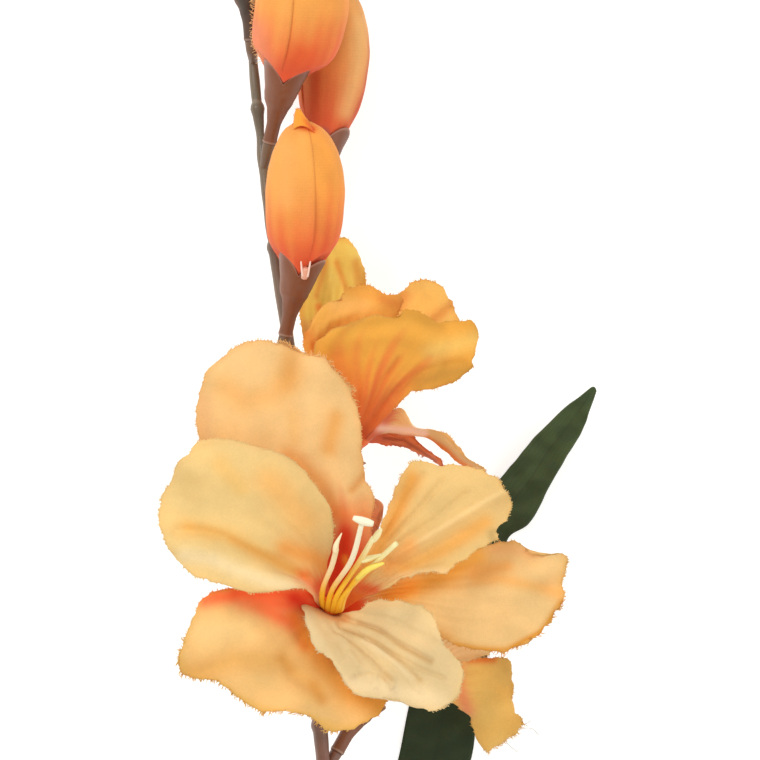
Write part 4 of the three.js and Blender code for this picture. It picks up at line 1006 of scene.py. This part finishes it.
def cup(name, place, s, rim, tint):
    """A cone on a sleeve, its rim cut into three lobes that are thin and pale at their edges."""
    rings, segments = 70, 66
    profile = np.array(cup_profile(s, rim))
    dense = np.linspace(0, len(profile) - 1, rings)
    r, y, thin = (np.interp(dense, range(len(profile)), column)[:, None] for column in profile.T)
    angle = np.linspace(0, math.tau, segments, endpoint=False)[None, :]
    h = y / s + 0 * angle
    low = np.where(h > CUP_VALLEY, CUP_VALLEY + (h - CUP_VALLEY) * lobe_share(angle), h)
    r = r * inside_radius(np.maximum(low, CUP_FLOOR), rim) / inside_radius(np.maximum(h, CUP_FLOOR), rim)
    r = r + 0.08 * ripples(angle * 5, y * 0.5, 11, 4) * ease(7, 9, h)
    local = np.stack([r * np.sin(angle), low * s, r * np.cos(angle)], axis=-1)
    tones = painted(
        linear(tint),
        ("#704a34", 0.3 * (1 - ease(5, 11, h))),
        # The left side is lighter, a painted highlight, and the right side darker, painted shade.
        ("#987262", 0.6 * ease(0.3, 1, -np.sin(angle + 0.3)) * ease(8, 13, h)),
        ("#62381e", 0.6 * ease(0.35, 1, np.sin(angle - 0.2)) * ease(6, 12, h)),
        ("#ba8a76", 0.6 * ease(0.95, 1, thin)),
        ("#b09280", 0.6 * np.exp(-((y - 0.25) / 0.3) ** 2)),
    )
    skin = Skin()
    skin.add(local @ rotation_from_y(place.axis).T + place.foot, capped_faces(rings, segments), tones)
    if name == "bud_front_cup":
        add_split_tab(skin)
    make_object(name + "_moulding", skin, cup_plastic, "cup", name)


def add_split_tab(skin):
    """A small clear tab between two lobes of the front bud's cup, split at its end."""
    centre = [(1.2, 96.6, 46.6), (1.5, 98.2, 47.6), (1.7, 99.6, 48.6)]
    add_tube(skin, smooth(centre, 8), 1, linear("#e8a88e"))
    for side in (-1, 1):
        prong = [(1.5 + 0.7 * side, 97, 47.6), (1.6 + 1.1 * side, 99.4, 48.9),
                 (1.7 + 1.4 * side, 101.6, 49.6)]
        add_tube(skin, smooth(prong, 8), np.linspace(0.4, 0.22, 8), linear("#f6d4c4"), sides=6)


def stem_tube(skin, route, rings, count):
    """A moulded stem with fine ribs, a knuckle at each node and a pale parting line round it."""
    stops = np.array(read_points(route))
    line = smooth(stops[:, :3], count)
    y = line[:, 1]
    radii = np.interp(np.linspace(0, len(stops) - 1, count), range(len(stops)), stops[:, 3])
    radii = radii + 0.1 * ripples(y, 0, 5, 13)
    tones = painted(linear(STEM_TONES[0]), (STEM_TONES[1], ease(20, 160, y)))
    for ring in rings:
        gap = y - ring
        radii = radii + 0.55 * np.exp(-(gap / 1.5) ** 2) - 0.25 * np.exp(-((gap - 2.2) / 0.5) ** 2)
        tones = painted(tones, ("#a4907a", 0.4 * np.exp(-((gap - 1.9) / 0.35) ** 2)),
                        ("#544030", 0.4 * np.exp(-((gap + 3) / 2.5) ** 2)))
    add_tube(skin, line, radii, tones, sides=20, ribs=6, rib_depth=0.09)


def arm(skin, place, s, tone):
    """The short arm from the stem to a cup."""
    ts = np.linspace(0, 1, 16)
    radii = np.interp(ts, (0, 0.5, 1), (1.3, 1.3 + 0.5 * s, SLEEVE - 0.4))
    add_tube(skin, curve([place.stem, place.at(-3.5 * s), place.at(-0.3)], ts), radii, linear(tone), sides=16)


def lower_stem():
    skin = Skin()
    stem_tube(skin, LOWER_STEM, LOWER_RINGS, 420)
    for peg in LEAF_PEGS:
        root, to = np.array(read_points(peg))
        line = smooth([root, (root + to) / 2, to], 8)
        add_tube(skin, line, np.linspace(1.5, 1.1, 8), linear("#5c4c36"), sides=12)
    make_object("stem_lower_moulding", skin, stem_plastic, "stem", "stem_lower")


def spike_stem():
    skin = Skin()
    stem_tube(skin, SPIKE_STEM, SPIKE_RINGS, 460)
    for spec in BUDS.values():
        arm(skin, Place(spec["route"]), spec["scale"], "#70543e")
    for route in BLOOMS.values():
        arm(skin, Place(route), 1, "#764e3e")
    make_object("stem_spike_moulding", skin, stem_plastic, "stem", "stem_spike")


def bract():
    """The mottled lobe behind the front bloom."""
    grid = cloth_grid(read_rows(BRACT), 40, 16, 0.1)[0]
    x, y = grid[..., 0], grid[..., 1]
    grid = grid + grid_normals(grid) * (0.2 * ripples(x, y, 4, 5))[..., None]
    tones = painted(linear("#eea67c"), ("#ce9470", 0.6 * ease(0, 1, ripples(x, y, 6, 2.4))),
                    ("#96543a", 0.5 * ease(0.3, 1, ripples(x, y, 7, 4))))
    skin = Skin()
    add_sheet(skin, grid, tones, grid, BRACT_THICKNESS)
    make_object("bract_front", skin, cup_plastic, "cup")


def stamens(bloom, paths, anthers=()):
    """The stalk, the heart of the funnel round it, the filaments, and the anthers that are seen."""
    place = Place(BLOOMS[bloom])
    skin = Skin()
    base = linear("#fac02e")
    add_tube(skin, [place.at(CUP_FLOOR + 0.4), place.at(THROAT_HEIGHT + 1)], 1.6, base, sides=16)
    funnel = [place.at(h) for h in (18.4, 20, 22, 23.4, 24.6, 25.4)]
    add_tube(skin, funnel, (1.9, 2.2, 2.9, 3.2, 2.9, 1.6), linear("#f2701e"), sides=24)
    ts = np.linspace(0, 1, 30)
    for path, end, yellow in paths:
        line = curve([place.at(THROAT_HEIGHT - 1.5), *path], ts)
        tones = painted(base, (end, ease(yellow - 0.35, yellow, ts)))
        add_tube(skin, line, 1.0 - 0.25 * ts + 0.06 * np.sin(9 * ts), tones, sides=10)
    ts = np.linspace(0, 1, 14)
    for stops, end, taper in anthers:
        radii = (0.45 + 0.85 * np.sin(math.pi * (0.1 + 0.75 * ts))) * (1 - taper * ts)
        add_tube(skin, curve(stops, ts), radii, linear(end), sides=10)
    make_object(bloom.replace("bloom", "stamens"), skin, stamen_plastic, "stamen", f"{bloom}_stamens")


def front_stamens():
    paths = [(read_points(path), end, yellow) for path, end, yellow, _, _ in STAMENS]
    anthers = [(read_points(anther), end, taper) for _, end, _, anther, taper in STAMENS]
    stamens("bloom_front", paths, anthers)


def hidden_stamens(bloom):
    """Stamens that the bloom hides, by the CAD's rule."""
    place = Place(BLOOMS[bloom])
    paths = []
    for i in range(HIDDEN_STAMENS):
        out = turned(*square_to(place.axis), math.tau * i / HIDDEN_STAMENS)
        path = [place.at(THROAT_HEIGHT + 14 * t) + out * 2.5 * t for t in (0.45, 1)]
        paths.append((path, "#fae8be", 0.8))
    stamens(bloom, paths)


# Assembly
spike_stem()
lower_stem()
bract()
for seed, (name, spec) in enumerate(PETALS.items()):
    petal(name, spec, 20 + 10 * seed)
for seed, (name, spec) in enumerate(LEAVES.items()):
    leaf(name, spec, 400 + 10 * seed)
for seed, (name, spec) in enumerate(BUDS.items()):
    bud(name, spec, 500 + 20 * seed)
    cup(f"{name}_cup", Place(spec["route"]), spec["scale"], BUD_RIM, spec.get("cup", CUP_TINT))
for name, route in BLOOMS.items():
    cup(f"{name}_cup", Place(route), 1, BLOOM_RIM, CUP_TINT)
front_stamens()
hidden_stamens("bloom_side")
hidden_stamens("bloom_back")


# Floor, light and camera
def floor():
    material, tree = start_material("floor_white")
    paint = {"Base Color": (0.55, 0.55, 0.55, 1), "Roughness": 0.9,
             "Emission Color": (1, 1, 1, 1), "Emission Strength": 0.66}
    node(tree, "OutputMaterial", {"Surface": node(tree, "BsdfPrincipled", paint).outputs[0]})
    mesh = bpy.data.meshes.new("floor")
    mesh.from_pydata([(-3, -3, 0), (3, -3, 0), (3, 3, 0), (-3, 3, 0)], [], [(0, 1, 2, 3)])
    mesh.materials.append(material)
    plane = bpy.data.objects.new("floor", mesh)
    bpy.context.scene.collection.objects.link(plane)


def area_light(name, place, size, power):
    light = bpy.data.lights.new(name, "AREA")
    light.shape = "DISK"
    light.size = size
    light.energy = power
    light.color = (0.97, 1, 1.05)
    lamp = bpy.data.objects.new(name, light)
    lamp.location = place
    aim = Vector((0, 0.13, 0.03)) - Vector(place)
    lamp.rotation_euler = aim.to_track_quat("-Z", "Y").to_euler()
    bpy.context.scene.collection.objects.link(lamp)


def studio():
    world = bpy.data.worlds.new("studio")
    world.use_nodes = True
    sky = world.node_tree.nodes["Background"].inputs
    sky["Color"].default_value = (0.98, 0.98, 0.91, 1)
    sky["Strength"].default_value = 0.82
    bpy.context.scene.world = world
    area_light("key", (-0.9, 1.1, 1.6), 1.0, 15)
    area_light("fill", (1.2, -0.5, 1.4), 1.3, 6)
    bpy.context.scene.view_settings.view_transform = "Standard"


def camera():
    """A camera so far above that the view is nearly without perspective."""
    distance = 5.0
    lens = bpy.data.cameras.new("camera")
    lens.sensor_width = 36
    lens.lens = lens.sensor_width * distance / (VIEW_PIXELS * VIEW_SCALE * MM)
    lens.clip_end = 20
    eye = bpy.data.objects.new("camera", lens)
    x, y = from_view((VIEW_PIXELS / 2, VIEW_PIXELS / 2))
    eye.location = ((x + SHIFT[0]) * MM, (y + SHIFT[1]) * MM, distance + 0.05)
    bpy.context.scene.collection.objects.link(eye)
    bpy.context.scene.camera = eye


floor()
studio()
camera()
